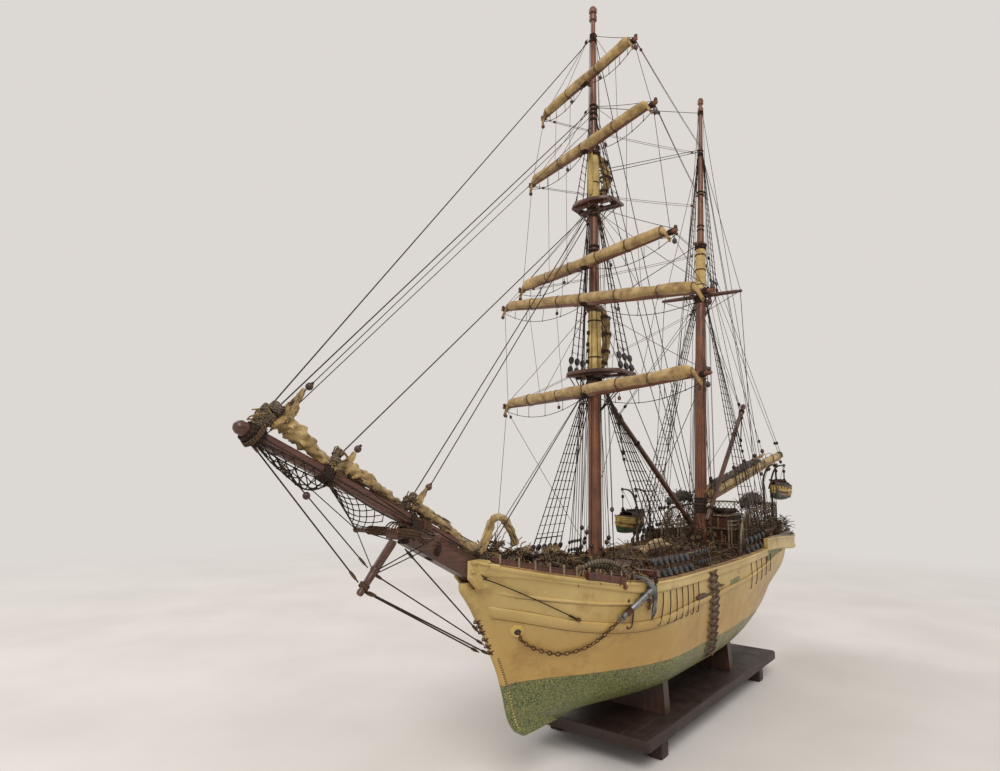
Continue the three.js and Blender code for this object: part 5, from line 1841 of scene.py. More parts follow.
class Gang:
    """The shrouds on one side of a mast, their deadeyes and the ratlines across them."""

    def __init__(self, feet, heads, eyes=(6, 19), size=4.6, rope=0.62):
        self.feet = [Vector(p) for p in feet]
        self.heads = [Vector(p) for p in heads]
        self.eyes, self.size, self.rope = eyes, size, rope

    def at(self, i, z):
        a, b = self.feet[i], self.heads[i]
        return a.lerp(b, (z - a.z) / (b.z - a.z))

    def draw(self, ropes, rungs, eyes, lanyards, gap, low, high):
        """Adds the gang to four forms; its ratlines start low above the feet and end high below the heads."""
        outward = Vector((0, copysign(1, self.feet[0].y or 1), 0.12))
        for a, b in zip(self.feet, self.heads):
            ahead = (b - a).normalized()
            lower, upper = a + ahead * self.eyes[0], a + ahead * self.eyes[1]
            face = (outward - ahead * outward.dot(ahead)).normalized()
            deadeye(eyes, lower, face, self.size, self.size * 0.85)
            deadeye(eyes, upper, face, self.size, self.size * 0.85)
            across = ahead.cross(face)
            for d in (-0.5, 0, 0.5):
                lanyards.line(lower + across * d * self.size, upper + across * d * self.size * 0.9, 0.42)
            lanyards.line(a, lower, 0.8)
            ropes.line(upper + ahead * self.size * 0.6, b, self.rope)
            for k in range(4):
                ropes.hoop(upper + ahead * (self.size * 1.5 + k * 1.8), ahead, self.rope * 1.15, 0.45,
                           around=9, sides=5)
        rng = random.Random(int(self.feet[0].x * 7 + self.feet[0].y))
        z = max(p.z for p in self.feet) + low
        top = min(p.z for p in self.heads) - high
        while z < top:
            path = [self.at(i, z + rng.uniform(-0.5, 0.5)) for i in range(len(self.feet))]
            out = []
            for p, q in zip(path, path[1:]):
                out += [p, p.lerp(q, 0.5) - Vector((0, 0, 0.5))]
            out.append(path[-1])
            rungs.tube(out, 0.36, 5)
            for p in path:
                rungs.ball(p, 1.05, sides=6, rings=4)
            z += gap


def lower_feet(xs, side):
    """Where the lower shrouds' deadeyes are made fast along the rail."""
    return [(x, side * (half_breadth(x, 196) - 3), rail_height(x) + 1.5) for x in xs]


def lower_heads(at, z, inner, count, side):
    """Where the lower shrouds meet round the mast."""
    heads = []
    for i in range(count):
        spread = i / (count - 1) * 1.15 - 0.25
        heads.append(at(z + 2.5, (inner + 0.9) * sin(spread), side * (inner + 0.9) * cos(spread)))
    return heads


def make_shrouds():
    """The lower shrouds of both masts."""
    for word, feet, at, z, inner, node in (("fore", FORE_FEET, fore_at, 432, 8, "fore_shrouds"),
                                           ("main", MAIN_FEET, main_at, 617, 9.2, "main_shrouds")):
        ropes, rungs, eyes, lanyards = Form(), Form(), Form(), Form()
        for side in SIDES:
            gang = Gang(lower_feet(feet[side], side), lower_heads(at, z, inner, len(feet[side]), side))
            gang.draw(ropes, rungs, eyes, lanyards, 11.5, 36, 24)
            # The sheer pole over the deadeyes.
            high = gang.feet[0].z + 30
            rungs.tube([gang.at(0, high), gang.at(-1, high)], 0.8, 6)
        for k in range(4):
            ropes.hoop(at(z + k * 1.5), (0, 0, 1), inner + 0.9, 0.8, around=18)
        piece(f"{word}_shrouds_laid", ropes, tarred, stands_for=(node,))
        piece(f"{word}_ratlines", rungs, tarred)
        piece(f"{word}_deadeyes", eyes, deadeye_wood)
        piece(f"{word}_lanyards", lanyards, brown_line)


def make_upper_shrouds():
    """The topmast and topgallant shrouds, the futtocks under the tops and the crosstrees' outriggers."""
    ropes, rungs, eyes, lanyards = Form(), Form(), Form(), Form()
    for side in SIDES:
        feet = [fore_at(440, x, side * y) for x, y in ((1, 37.5), (17, 37.5), (32, 37.5))]
        heads = [fore_at(657, x, side * 5.5) for x in (-2, 0, 2)]
        Gang(feet, heads, (9.5, 22), 4.7, 0.7).draw(ropes, rungs, eyes, lanyards, 10.5, 32, 8)
        for foot in feet:
            ropes.line(foot, fore_at(392, 2, side * 6), 0.7)
        feet = [fore_at(665, x, side * 29) for x in (0, 18)]
        heads = [fore_at(781, x, side * 4.5) for x in (-1, 1)]
        Gang(feet, heads, (4, 10), 2.4, 0.55).draw(ropes, rungs, eyes, lanyards, 9, 15, 6)
        for foot in feet:
            ropes.line(foot, fore_at(637, 1, side * 5), 0.55)
        feet = [main_at(630, x, side * y) for x, y in ((-15, 25), (0, 25), (14, 25))]
        heads = [main_at(896, x, side * 4.5) for x in (-2, 0, 2)]
        Gang(feet, heads, (9, 21), 3.9, 0.6).draw(ropes, rungs, eyes, lanyards, 11, 28, 8)
        ropes.line(main_at(630, 2, side * 68), main_at(897, 0, side * 4), 0.45)
        ropes.line(main_at(628, 2, side * 68), main_at(600, 2, side * 9), 0.5)
        ropes.line(main_at(628, 2, side * 68), (150, side * 89, rail_height(150) + 2), 0.5)
        for x in (-12, 12):
            ropes.line(main_at(630, x, side * 25), main_at(590, 0, side * 8), 0.6)
    piece("upper_shrouds", ropes, tarred)
    piece("upper_ratlines", rungs, tarred)
    piece("upper_deadeyes", eyes, deadeye_wood)
    piece("upper_lanyards", lanyards, brown_line)


def pulley(form, at, size, axis=(0, 0, 1)):
    """A stropped block: an egg-shaped shell with a cheek on each side."""
    axis = Vector(axis).normalized()
    form.ball(at, size, 0, axis, 1.3, sides=12, rings=7)
    form.hoop(at, axis.orthogonal(), size * 1.12, size * 0.2, around=14, oval=1.25, along=axis)


def tackle(ropes, blocks, a, b, size=2.3, rope=0.4, share=0.16):
    """Two blocks near the ends of a line, with the falls between them."""
    a, b = Vector(a), Vector(b)
    ahead = (b - a).normalized()
    side = ahead.orthogonal().normalized()
    p, q = a.lerp(b, share), a.lerp(b, 1 - share)
    ropes.line(a, p, rope)
    ropes.line(q, b, rope)
    for d in (-1, 0, 1):
        ropes.line(p + side * d * size * 0.6, q + side * d * size * 0.6, rope)
    pulley(blocks, p, size, ahead)
    pulley(blocks, q, size, ahead)


def make_backstays():
    """Backstays to the rail, and the many lines that run down the masts."""
    ropes, blocks, eyes = Form(), Form(), Form()
    for side in SIDES:
        rail = [(x, side * (half_breadth(x, 200) - 4), rail_height(x) + 2)
                for x in (-112, -104, -96, -88, -80)]
        tops = [fore_at(905, 0, side * 3), fore_at(800, 0, side * 4), fore_at(745, 0, side * 5),
                fore_at(658, 0, side * 6), fore_at(520, 0, side * 6)]
        for foot, top in zip(rail, tops[::-1]):
            foot = Vector(foot)
            ahead = (top - foot).normalized()
            ropes.line(foot, top, 0.5)
            deadeye(eyes, foot + ahead * 8, (0, side, 0), 2.6, 2.4)
            deadeye(eyes, foot + ahead * 20, (0, side, 0), 2.6, 2.4)
        feet = [(x, side * (half_breadth(x, 200) - 6), 206) for x in (176, 188, 202, 216)]
        tops = [main_at(720, 0, side * 6), main_at(900, 0, side * 4), main_at(905, 0, side * 4),
                main_at(990, 0, side * 3)]
        for foot, top in zip(feet, tops):
            foot = Vector((foot[0], foot[1], 224))
            ahead = (top - foot).normalized()
            ropes.line(foot, top, 0.45)
            pulley(blocks, foot + ahead * 7, 2.2, ahead)
            pulley(blocks, foot + ahead * 36, 2.2, ahead)
    # Halyards, topping lifts and other lines that run down each mast to its foot.
    rng = random.Random(11)
    for at, tops, ring, low, count in ((fore_at, (903, 800, 745, 662, 525, 440), 22, 205, 15),
                                       (main_at, (985, 900, 722, 640, 600), 24, 208, 13)):
        for i in range(count):
            top = tops[i % len(tops)]
            a = tau * (i + rng.uniform(-0.3, 0.3)) / count
            foot = at(low, ring * cos(a) * 0.8 + 4, ring * sin(a))
            ropes.line(foot, at(top, 4 * cos(a), 5 * sin(a)), rng.choice((0.3, 0.36, 0.42)))
            if rng.random() < 0.7:
                pulley(blocks, foot.lerp(at(top), rng.uniform(0.03, 0.1)), 2)
            if rng.random() < 0.5:
                pulley(blocks, foot.lerp(at(top), rng.uniform(0.86, 0.96)), 1.9)
    piece("backstays_and_halyards", ropes, tarred)
    piece("hanging_blocks", blocks, block_wood)
    piece("backstay_deadeyes", eyes, deadeye_wood)


def make_braces():
    """Braces, lifts and sheets, each from its yard to the masts."""
    mains = {"course": 600, "lower_topsail": 640, "upper_topsail": 705, "topgallant": 800, "royal": 905}
    lifts = {"course": 524, "lower_topsail": 655, "upper_topsail": 660, "topgallant": 800, "royal": 903}
    for name, spec in YARDS.items():
        for side, word in SIDES.items():
            arm = on_yard(name, side * spec["half"] * 0.965)
            lead = main_at(mains[name], -6, side * 7)
            ropes = Form()
            for d in (-0.9, 0.9):
                ropes.line(arm + Vector((0, 0, d)), lead + Vector((0, 0, d * 2)), 0.34, sag=3)
            for share in (0.06, 0.97):
                ropes.ball(arm.lerp(lead, share) - Vector((0, 0, 3 * 4 * share * (1 - share))), 1.9,
                           axis=lead - arm, long=1.4, sides=10, rings=6)
            piece(f"{name}_brace_{word}", ropes, brown_line, cross=(yard_body(name), arm, lead))
            top = fore_at(lifts[name], -5, side * 5)
            ropes = Form()
            ropes.line(arm + Vector((0, 0, 3)), top, 0.36, sag=1.5)
            ropes.line(on_yard(name, side * spec["half"] * 0.5, 0, 4), top, 0.32)
            ropes.ball(top + (arm - top) * 0.04, 1.9, axis=arm - top, long=1.4, sides=10, rings=6)
            piece(f"{name}_lift_{word}", ropes, brown_line, cross=(yard_body(name), arm, top))
    order = list(YARDS)
    for low, high in zip(order, order[1:]):
        ropes = Form()
        for side in SIDES:
            a = on_yard(high, side * YARDS[high]["half"] * 0.95, 0, -3)
            b = on_yard(low, side * min(YARDS[low]["half"] * 0.93, YARDS[high]["half"] * 1.25), 0, 4)
            ropes.line(a, b, 0.34, sag=0.5)
            for share in (0.3, 0.62):
                a = on_yard(high, side * YARDS[high]["half"] * share, 1.5, -4)
                b = on_yard(low, side * YARDS[low]["half"] * share * 0.8, 1.5, 5)
                ropes.line(a, b, 0.28)
        piece(f"{high}_sheets", ropes, brown_line, yard_body(high))
    for side, word in SIDES.items():
        arm = on_yard("course", side * YARDS["course"]["half"] * 0.95, 0, -4)
        for kind, foot in (("tack", (-300, side * 80, 215)), ("sheet", (-60, side * 92, 203))):
            ropes = Form()
            ropes.line(arm, foot, 0.38, sag=1)
            ropes.ball(arm + (Vector(foot) - arm) * 0.05, 2, long=1.3, sides=10, rings=6)
            piece(f"course_{kind}_{word}", ropes, brown_line, cross=("course_yard", arm, foot))


make_shrouds()
make_upper_shrouds()
make_backstays()
make_braces()

# ---------------------------------------------------------------- coils and other loose rope


def coil(form, at, radius, rng, turns, rope, axis, oval=1.0, mark=0):
    """An untidy coil: loops that wander in size, tilt and height."""
    axis = Vector(axis).normalized()
    side = axis.orthogonal().normalized()
    up = axis.cross(side)
    if abs(up.z) < abs(side.z):
        side, up = up, side
    spin = rng.uniform(0, 6.28)
    path, n = [], 13
    lean = Vector((rng.uniform(-0.16, 0.16), rng.uniform(-0.16, 0.16)))
    for i in range(turns * n):
        a = spin + tau * i / n
        r = radius * (0.8 + 0.25 * sin(i * 0.31 + spin) + rng.uniform(-0.05, 0.05))
        x, y = cos(a) * r, sin(a) * r
        rise = i / n * rope * 1.25 + rng.uniform(0, 0.4) + lean.x * x + lean.y * y
        path.append(Vector(at) + side * x * oval + up * y + axis * rise)
    form.tube(path, rope, 5, mark)


def hank(form, at, rng, drop=9, wide=3.2, rope=0.5, mark=0):
    """A coil hung from a pin, long and narrow."""
    for _ in range(3):
        path, n = [], 14
        high = drop * rng.uniform(0.8, 1.1) / 2
        spin = rng.uniform(-0.3, 0.3)
        for i in range(n + 1):
            a = tau * i / n
            p = Vector((sin(a) * wide * 0.5 * cos(spin), sin(a) * wide * 0.5 * sin(spin) +
                        rng.uniform(-0.4, 0.4), cos(a) * high - high))
            path.append(Vector(at) + p)
        form.tube(path, rope, 5, mark)


def tangle(form, rng, spot, count, marks, reach=5.5, rope=(0.35, 0.6)):
    """Loose ends of rope and straw: short curly strands about the places that spot() gives."""
    for _ in range(count):
        p = Vector(spot())
        way = Vector((rng.uniform(-1, 1), rng.uniform(-1, 1), rng.uniform(-0.5, 0.5)))
        points = [p]
        for _ in range(4):
            way = (way + Vector((rng.uniform(-0.8, 0.8), rng.uniform(-0.8, 0.8),
                                 rng.uniform(-0.6, 0.6)))).normalized()
            points.append(points[-1] + way * reach * rng.uniform(0.6, 1.3))
        form.tube(curve(points, 3), rng.uniform(*rope), 5, rng.choice(marks))


def pin(form, at):
    """A belaying pin."""
    at = Vector(at)
    form.lathe(at - Vector((0, 0, 5)), at + Vector((0, 0, 5)),
               [(0, 0.5), (0.1, 0.8), (0.45, 0.7), (0.5, 1.3), (0.6, 0.8), (0.85, 1.3), (0.97, 1.0),
                (1, 0.3)], 8)


ROPES = [tarred, brown_line, hemp, grey_rope, twig]
TAR, BROWN, HEMP, GREY, STRAW = range(len(ROPES))
WALL, TRIM = 0, 1


def make_bow():
    """The raised fo'c'sle deck with its low rail."""
    floor = Form()
    rows = []
    for x in steps(-430, -262, 30):
        z = rail_height(x) - 5
        half = half_breadth(x, z) - 3.4
        rows.append([Vector((x, half * s, z + 0.8 * (1 - s * s))) for s in steps(-1, 1, 8)])
    floor.grid(rows)
    floor.grid([[Vector((-262, y, z)) for y in steps(-86, 86, 12)]
                for z in (178, 190, rail_height(-262) - 5)])
    piece("focsle_deck", floor, deck_planks)
    panels, posts = Form(), Form()
    for side in SIDES:
        rows = []
        for x in steps(-432, -300, 60):
            z = rail_height(x) + 1.6
            y = half_breadth(x, z) - 2.4 + noise.noise(Vector((x * 0.1, side, 0))) * 0.5
            high = 6.2 + noise.noise(Vector((x * 0.06, side * 3, 2))) * 0.8
            rows.append([Vector((x, side * (y + o), z + up))
                         for o, up in ((-1.4, 0), (0.5, 0), (0.6, high - 1.4), (1.3, high - 1),
                                       (1.2, high), (-1.8, high), (-1.6, high - 1.4))])
        panels.grid(rows, closed=True, caps=True)
        for x in steps(-427, -306, 9):
            z = rail_height(x) + 1
            y = side * (half_breadth(x, z) - 1.1)
            posts.planed((x - 0.9, y - 0.9, z), (x + 0.9, y + 0.9, z + 8.6), 0.4)
            posts.ball((x, y, z + 9.2), 1.1, sides=8, rings=5)
    piece("bow_rail_panels", panels, house_wood)
    piece("bow_rail_posts", posts, trim_wood)


def make_bow_heaps():
    """The rope that lies heaped on the fo'c'sle: coils, hanks, stray ends and straw."""
    rng = random.Random(21)
    heaps = Form()

    def heap_spot(edge=7.0, over=1.0):
        x = rng.uniform(-430, -262)
        half = max(2, half_breadth(x, 215) - edge)
        y = rng.uniform(-1, 1) * half
        pile = 19 * (1 - (y / (half + 1)) ** 2) * smooth(x, -445, -400)
        return Vector((x, y, rail_height(x) - 2 + rng.uniform(0.2, 1) * (7 + pile) * over))

    for _ in range(150):
        x, y, z = heap_spot()
        tilt = (rng.uniform(-0.8, 0.8), rng.uniform(-0.8, 0.8), 1)
        coil(heaps, (x, y, z), rng.uniform(3, 7), rng, rng.randint(2, 5), rng.uniform(0.45, 0.75), tilt,
             rng.uniform(0.8, 1.4), rng.choice((TAR, BROWN, BROWN, HEMP, HEMP, GREY)))
    for _ in range(46):
        x = rng.uniform(-424, -275)
        side = rng.choice((-1, -1, 1))
        z = rail_height(x) + rng.uniform(6, 11)
        y = side * (half_breadth(x, 220) - rng.uniform(3, 6))
        hank(heaps, (x, y, z), rng, rng.uniform(6, 10), rng.uniform(3, 6), 0.5,
             rng.choice((BROWN, HEMP, HEMP, BROWN, TAR)))
    for _ in range(30):
        x = rng.uniform(-420, -290)
        a = Vector((x, rng.uniform(-1, 1) * max(2, half_breadth(x, 215) - 8),
                    rail_height(x) + rng.uniform(4, 12)))
        b = a + Vector((rng.uniform(12, 40), rng.uniform(-14, 14), rng.uniform(-5, 4)))
        heaps.line(a, b, rng.uniform(0.4, 0.8), sag=rng.uniform(-2, 3),
                   mark=rng.choice((TAR, BROWN, BROWN, HEMP)))
    tangle(heaps, rng, lambda: heap_spot(5, 1.1), 640, (TAR, TAR, BROWN, BROWN, HEMP, HEMP, STRAW, GREY),
           3.6)
    piece("bow_rope_heaps", heaps, ROPES)


def make_bow_gear():
    """Windlass, bitts, bell post, catheads, and the grey hawser that curves over the rail."""
    gear = Form()
    z = rail_height(-345) - 2
    gear.lathe((-345, -26, z + 8), (-345, 26, z + 8),
               [(0, 3), (0.03, 5), (0.1, 5.2), (0.14, 3.4), (0.4, 4.2), (0.47, 4.2), (0.48, 6), (0.52, 6),
                (0.53, 4.2), (0.6, 4.2), (0.86, 3.4), (0.9, 5.2), (0.97, 5), (1, 3)], 10)
    for side in SIDES:
        gear.planed((-349, side * 13 - 2, z), (-341, side * 13 + 2, z + 17), 0.8)
        gear.planed((-392, side * 10 - 2.4, z + 4), (-386, side * 10 + 2.4, z + 23), 0.9)
        gear.planed((-418, side * 11 - 2.2, z + 8), (-413, side * 11 + 2.2, z + 26), 0.9)
    gear.planed((-391, -17, z + 16), (-387, 17, z + 19), 0.7)
    for y in (-7, 0, 7):
        gear.planed((-304, y - 1.5, z - 2), (-300, y + 1.5, z + 15), 0.6)
    gear.planed((-304, -14, z + 8), (-299, 14, z + 11), 0.7)
    piece("windlass_and_bitts", gear, house_wood)
    hose = Form()
    for side in SIDES:
        path = [(-345, side * 56, 218), (-330, side * 66, 226), (-312, side * 74, 227),
                (-297, side * 80, 221), (-288, side * 84, 212), (-284, side * 87, 205)]
        hose.tube(curve(path, 8), 2.5, 10, shape=lambda run, turn: 1 + 0.1 * sin(run * 1.9))
        path = [(-322, side * 60, 222), (-306, side * 70, 221), (-294, side * 76, 214),
                (-290, side * 80, 206)]
        hose.tube(curve(path, 8), 1.9, 10, shape=lambda run, turn: 1 + 0.1 * sin(run * 2.3))
    piece("bow_hawsers", hose, grey_rope)
    for side, word in SIDES.items():
        arm = Form()
        beam(arm, (-352, side * 74, 217.5), (-303, side * 88.5, 208), (2.6, 3.4), (3, 3.6), 0.2)
        beam(arm, (-258.5, side * 80, 212), (-258.5, side * 105, 212.6), (3.2, 3), (3, 2.8), 0.2)
        arm.ball((-304, side * 90.4, 202.6), 2.3, long=1.2, sides=10)
        arm.line((-304, side * 90.4, 208), (-304, side * 90.4, 203), 0.5)
        arm.hoop((-258.5, side * 101, 212.4), (0, 1, 0), 4.4, 0.6, around=14)
        arm.hoop((-310, side * 86.4, 209.4), (0.9, side * 0.26, -0.2), 4.9, 0.6, around=14)
        piece(f"cathead_beams_{word}", arm, house_wood, stands_for=(f"cathead_{word}",))
        fall = Form()
        tackle(fall, fall, (-258.5, side * 103.5, 209), skin(-266, 197, side, 9), 1.9, 0.36, 0.3)
        piece(f"cat_tackle_{word}", fall, tarred)


def house(form, low, high, lap=4, panels=6):
    """A house with framed panels under a lapping roof: walls in the first material, trims in the second."""
    low, high = Vector(low), Vector(high)
    roof = 2.6
    form.planed(low, high, 0.8, WALL)
    form.planed((low.x - lap, low.y - lap, high.z), (high.x + lap, high.y + lap, high.z + roof), 0.9,
                TRIM)
    form.planed((low.x - lap + 2, low.y - lap + 2, high.z + roof),
                (high.x + lap - 2, high.y + lap - 2, high.z + roof + 0.9), 0.4, WALL)
    for y in (low.y, high.y):
        for i, x in enumerate(steps(low.x, high.x, panels)):
            form.planed((x - 1.1, y - 1, low.z), (x + 1.1, y + 1, high.z), 0.4, TRIM if i % 2 else WALL)
        for x0, x1 in zip(steps(low.x, high.x, panels), steps(low.x, high.x, panels)[1:]):
            middle = (x0 + x1) / 2
            form.planed((x0 + 3, y - 0.6, low.z + 3), (x1 - 3, y + 0.6, high.z - 3), 0.5, WALL)
            form.hoop((middle, y, mix(low.z, high.z, 0.6)), (0, 1, 0), 2.9, 0.7, TRIM, 14)
        form.planed((low.x - 0.5, y - 1.2, high.z - 2.6), (high.x + 0.5, y + 1.2, high.z - 0.8), 0.4,
                    TRIM)
        form.planed((low.x - 0.5, y - 1.2, low.z), (high.x + 0.5, y + 1.2, low.z + 2), 0.4, WALL)
    for x in (low.x, high.x):
        for y in steps(low.y, high.y, 4):
            form.planed((x - 1, y - 1.1, low.z), (x + 1, y + 1.1, high.z), 0.4, TRIM)
        form.planed((x - 0.8, -5.5, low.z), (x + 0.8, 5.5, high.z - 4), 0.4, WALL)


def railing(form, path, height, gap):
    """Stanchions with balls along a path, and rails through them."""
    path = curve(path, 8)
    post, run = 0.9, 0.0
    for i, p in enumerate(path):
        run += (p - path[i - 1]).length if i else gap
        if run >= gap:
            run = 0
            form.lathe(p, p + Vector((0, 0, height)),
                       [(0, post * 1.3), (0.05, post), (0.48, post * 0.8), (0.5, post * 1.5),
                        (0.53, post * 0.8), (0.95, post * 0.8), (1, post)], 8)
            form.ball(p + Vector((0, 0, height)), post * 1.7, sides=8, rings=5)
    for k in (1, 2):
        form.tube([p + Vector((0, 0, height * k / 2)) for p in path], post * 0.6, 6)


def make_houses():
    """The deckhouse, two companions and the poop cabin under its bridge of rails."""
    main = Form()
    z = deck_height(-40) + 2.6
    house(main, (-112, -34, z), (18, 34, z + 25.5))
    main.planed((-74, -16, z + 28), (-38, 16, z + 36), 1.2)
    for x in steps(-71, -41, 5):
        main.planed((x - 0.6, -17, z + 35), (x + 0.6, 17, z + 37.4), 0.3, 1)
    piece("deckhouse_panelled", main, [house_wood, trim_wood], stands_for=("deckhouse",))
    small = Form()
    z0 = deck_height(-160) + 2
    house(small, (-186, -22, z0), (-132, 22, z0 + 24), panels=3, lap=3)
    house(small, (44, -24, deck_height(60) + 2), (92, 24, deck_height(60) + 24), panels=3, lap=3)
    piece("companion_houses", small, [house_wood, trim_wood])
    cabin = Form()
    z1 = POOP_DECK + 1.6
    house(cabin, (182, -40, z1), (300, 40, z1 + 23))
    house(cabin, (186, -27, z1 + 26), (262, 27, z1 + 44), panels=4, lap=4)
    for y in (-42.5, 42.5):
        cabin.planed((148, y - 1.4, z1 + 30), (304, y + 1.4, z1 + 32.4), 0.6, 1)
        cabin.planed((148, y - 1.4, z1 + 37), (304, y + 1.4, z1 + 39), 0.6, 1)
        for x in (150, 164, 198, 232, 266, 300):
            cabin.planed((x - 1.4, y - 1.2, z1 - 4), (x + 1.4, y + 1.2, z1 + 40), 0.5, 1)
    piece("poop_cabin_panelled", cabin, [house_wood, trim_wood], stands_for=("poop_cabin",))
    make_deck_heaps(z, z1)


def make_deck_heaps(deckhouse_foot, cabin_foot):
    """Spare canvas on the deckhouse, and the coils and stray ends of rope all over the decks."""
    rng = random.Random(33)
    heap = Form()
    top = deckhouse_foot + 29

    def on_deckhouse():
        return rng.uniform(-104, 12), rng.uniform(-30, 30), top + rng.uniform(0, 5)

    def on_cabin():
        return rng.uniform(190, 258), rng.uniform(-24, 24), cabin_foot + 48 + rng.uniform(0, 5)

    def beside_cabin():
        x = rng.uniform(170, 425)
        y = rng.choice((-1, 1)) * rng.uniform(46, max(47, half_breadth(x, 210) - 12))
        return x, y, 207 + rng.uniform(0, 6)

    for spot, count, largest, turns, marks in ((on_deckhouse, 40, 6.5, 5, (TAR, BROWN, HEMP, HEMP, GREY)),
                                               (on_cabin, 46, 6.5, 5, (TAR, BROWN, BROWN, GREY)),
                                               (beside_cabin, 60, 6, 6, (TAR, BROWN, BROWN, HEMP))):
        for _ in range(count):
            tilt = (rng.uniform(-0.5, 0.5), rng.uniform(-0.5, 0.5), 1)
            coil(heap, spot(), rng.uniform(3, largest), rng, rng.randint(3, turns), rng.uniform(0.5, 0.8),
                 tilt, mark=rng.choice(marks))
    for _ in range(80):
        x = rng.uniform(-240, 155)
        y = rng.choice((-1, 1)) * rng.uniform(44, half_breadth(x, 195) - 12)
        tilt = (rng.uniform(-0.4, 0.4), rng.uniform(-0.4, 0.4), 1)
        coil(heap, (x, y, deck_height(x) + 3 + rng.uniform(0, 7)), rng.uniform(3, 6.5), rng,
             rng.randint(3, 6), rng.uniform(0.5, 0.8), tilt,
             mark=rng.choice((TAR, BROWN, BROWN, HEMP, GREY)))
    for at, ring, low in ((fore_at, 17, 208), (main_at, 20, 214)):
        for _ in range(34):
            a = rng.uniform(0, 6.28)
            r = ring * rng.uniform(0.6, 1.4)
            coil(heap, at(low + rng.uniform(-10, 12), cos(a) * r, sin(a) * r), rng.uniform(2.6, 5), rng,
                 4, 0.6, (cos(a), sin(a), rng.uniform(-0.3, 0.9)),
                 mark=rng.choice((TAR, BROWN, BROWN, HEMP)))

    def amidships():
        x = rng.uniform(-262, 158)
        side = rng.choice((-1, -1, 1))
        y = side * rng.uniform(26, half_breadth(x, 195) - 9)
        return x, y, rng.uniform(deck_height(x) + 4, rail_height(x) + 11)

    def aft():
        x = rng.uniform(150, 424)
        y = rng.choice((-1, -1, 1)) * rng.uniform(min(52, half_breadth(x, 210) - 14),
                                                  half_breadth(x, 210) - 8)
        return x, y, rng.uniform(207, 240)

    def foot_of_main():
        a = rng.uniform(0, 6.28)
        r = rng.uniform(14, 40)
        return MAIN["x"] + cos(a) * r, sin(a) * r, rng.uniform(200, 258)

    def roofs():
        return rng.uniform(-180, 90), rng.uniform(-34, 34), deckhouse_foot + 28 + rng.uniform(0, 8)

    tangle(heap, rng, amidships, 1000, (TAR, TAR, BROWN, BROWN, GREY, GREY, HEMP, STRAW), 3.6)
    tangle(heap, rng, aft, 760, (TAR, TAR, TAR, BROWN, BROWN, GREY, STRAW), 4)
    tangle(heap, rng, foot_of_main, 130, (TAR, TAR, BROWN, GREY, STRAW), 4)
    tangle(heap, rng, roofs, 320, (TAR, BROWN, BROWN, HEMP, GREY, STRAW), 4)
    piece("deck_rope_coils", heap, ROPES)
    rolls = [(-100, -8, top + 5), (-82, -9, top + 7), (-60, -10, top + 13), (-38, -9, top + 13),
             (-18, -8, top + 7), (4, -7, top + 5)]
    cloth("spare_canvas_roll", Bunt(14).rows(rolls, [4, 6, 6.4, 6, 6, 3.6]), held="laid",
          rests_on=("deckhouse_panelled",))


def make_deck_rails():
    """Pin rails inside the bulwarks and fife rails round the masts, with their pins and hanks."""
    wood_form, ropes = Form(), Form()
    rng = random.Random(5)
    for side in SIDES:
        for a, b in ((-246, -120), (-40, 40), (60, 158)):
            rows = []
            for x in steps(a, b, 24):
                y = half_breadth(x, 196) - 7
                z = rail_height(x) - 3.5
                rows.append([Vector((x, side * (y + o), z + u))
                             for o, u in ((-3.6, 0), (0.6, 0), (0.6, 1.6), (-3.6, 1.6))])
            wood_form.grid(rows, closed=True, caps=True)
            for x in steps(a + 4, b - 4, int((b - a) / 8)):
                y = side * (half_breadth(x, 196) - 8.8)
                z = rail_height(x) - 3
                pin(wood_form, (x, y, z + 1))
                hank(ropes, (x, y - side * 1.5, z + 3), rng, rng.uniform(9, 14), rng.uniform(3, 5), 0.45,
                     rng.choice((TAR, BROWN, BROWN, HEMP, GREY)))
    for at, half, z in ((fore_at, 15, 196), (main_at, 18, 202)):
        for d in (-1, 1):
            for y in (-half, half):
                p = at(z - 20, d * 13, y)
                wood_form.lathe(p, p + Vector((0, 0, 30)),
                                [(0, 2), (0.1, 1.6), (0.6, 1.4), (0.7, 2.2), (0.85, 2.2), (0.92, 1.4),
                                 (1, 2)], 10)
        for y in (-half, half):
            wood_form.planed(at(z + 2, -16, y - 2), at(z + 2, 16, y + 2) + Vector((0, 0, 2.4)), 0.5)
        for x in (-13, 13):
            wood_form.planed(at(z + 2, x - 2, -half - 3),
                             at(z + 2, x + 2, half + 3) + Vector((0, 0, 2.4)), 0.5)
            for y in steps(-half + 3, half - 3, 5):
                pin(wood_form, at(z + 4, x, y))
                hank(ropes, at(z + 6, x + (2 if x > 0 else -2), y), rng, rng.uniform(9, 15), 4, 0.5,
                     rng.choice((TAR, BROWN, BROWN, HEMP)))
    piece("pin_rails", wood_form, house_wood)
    piece("pin_rail_hanks", ropes, ROPES)


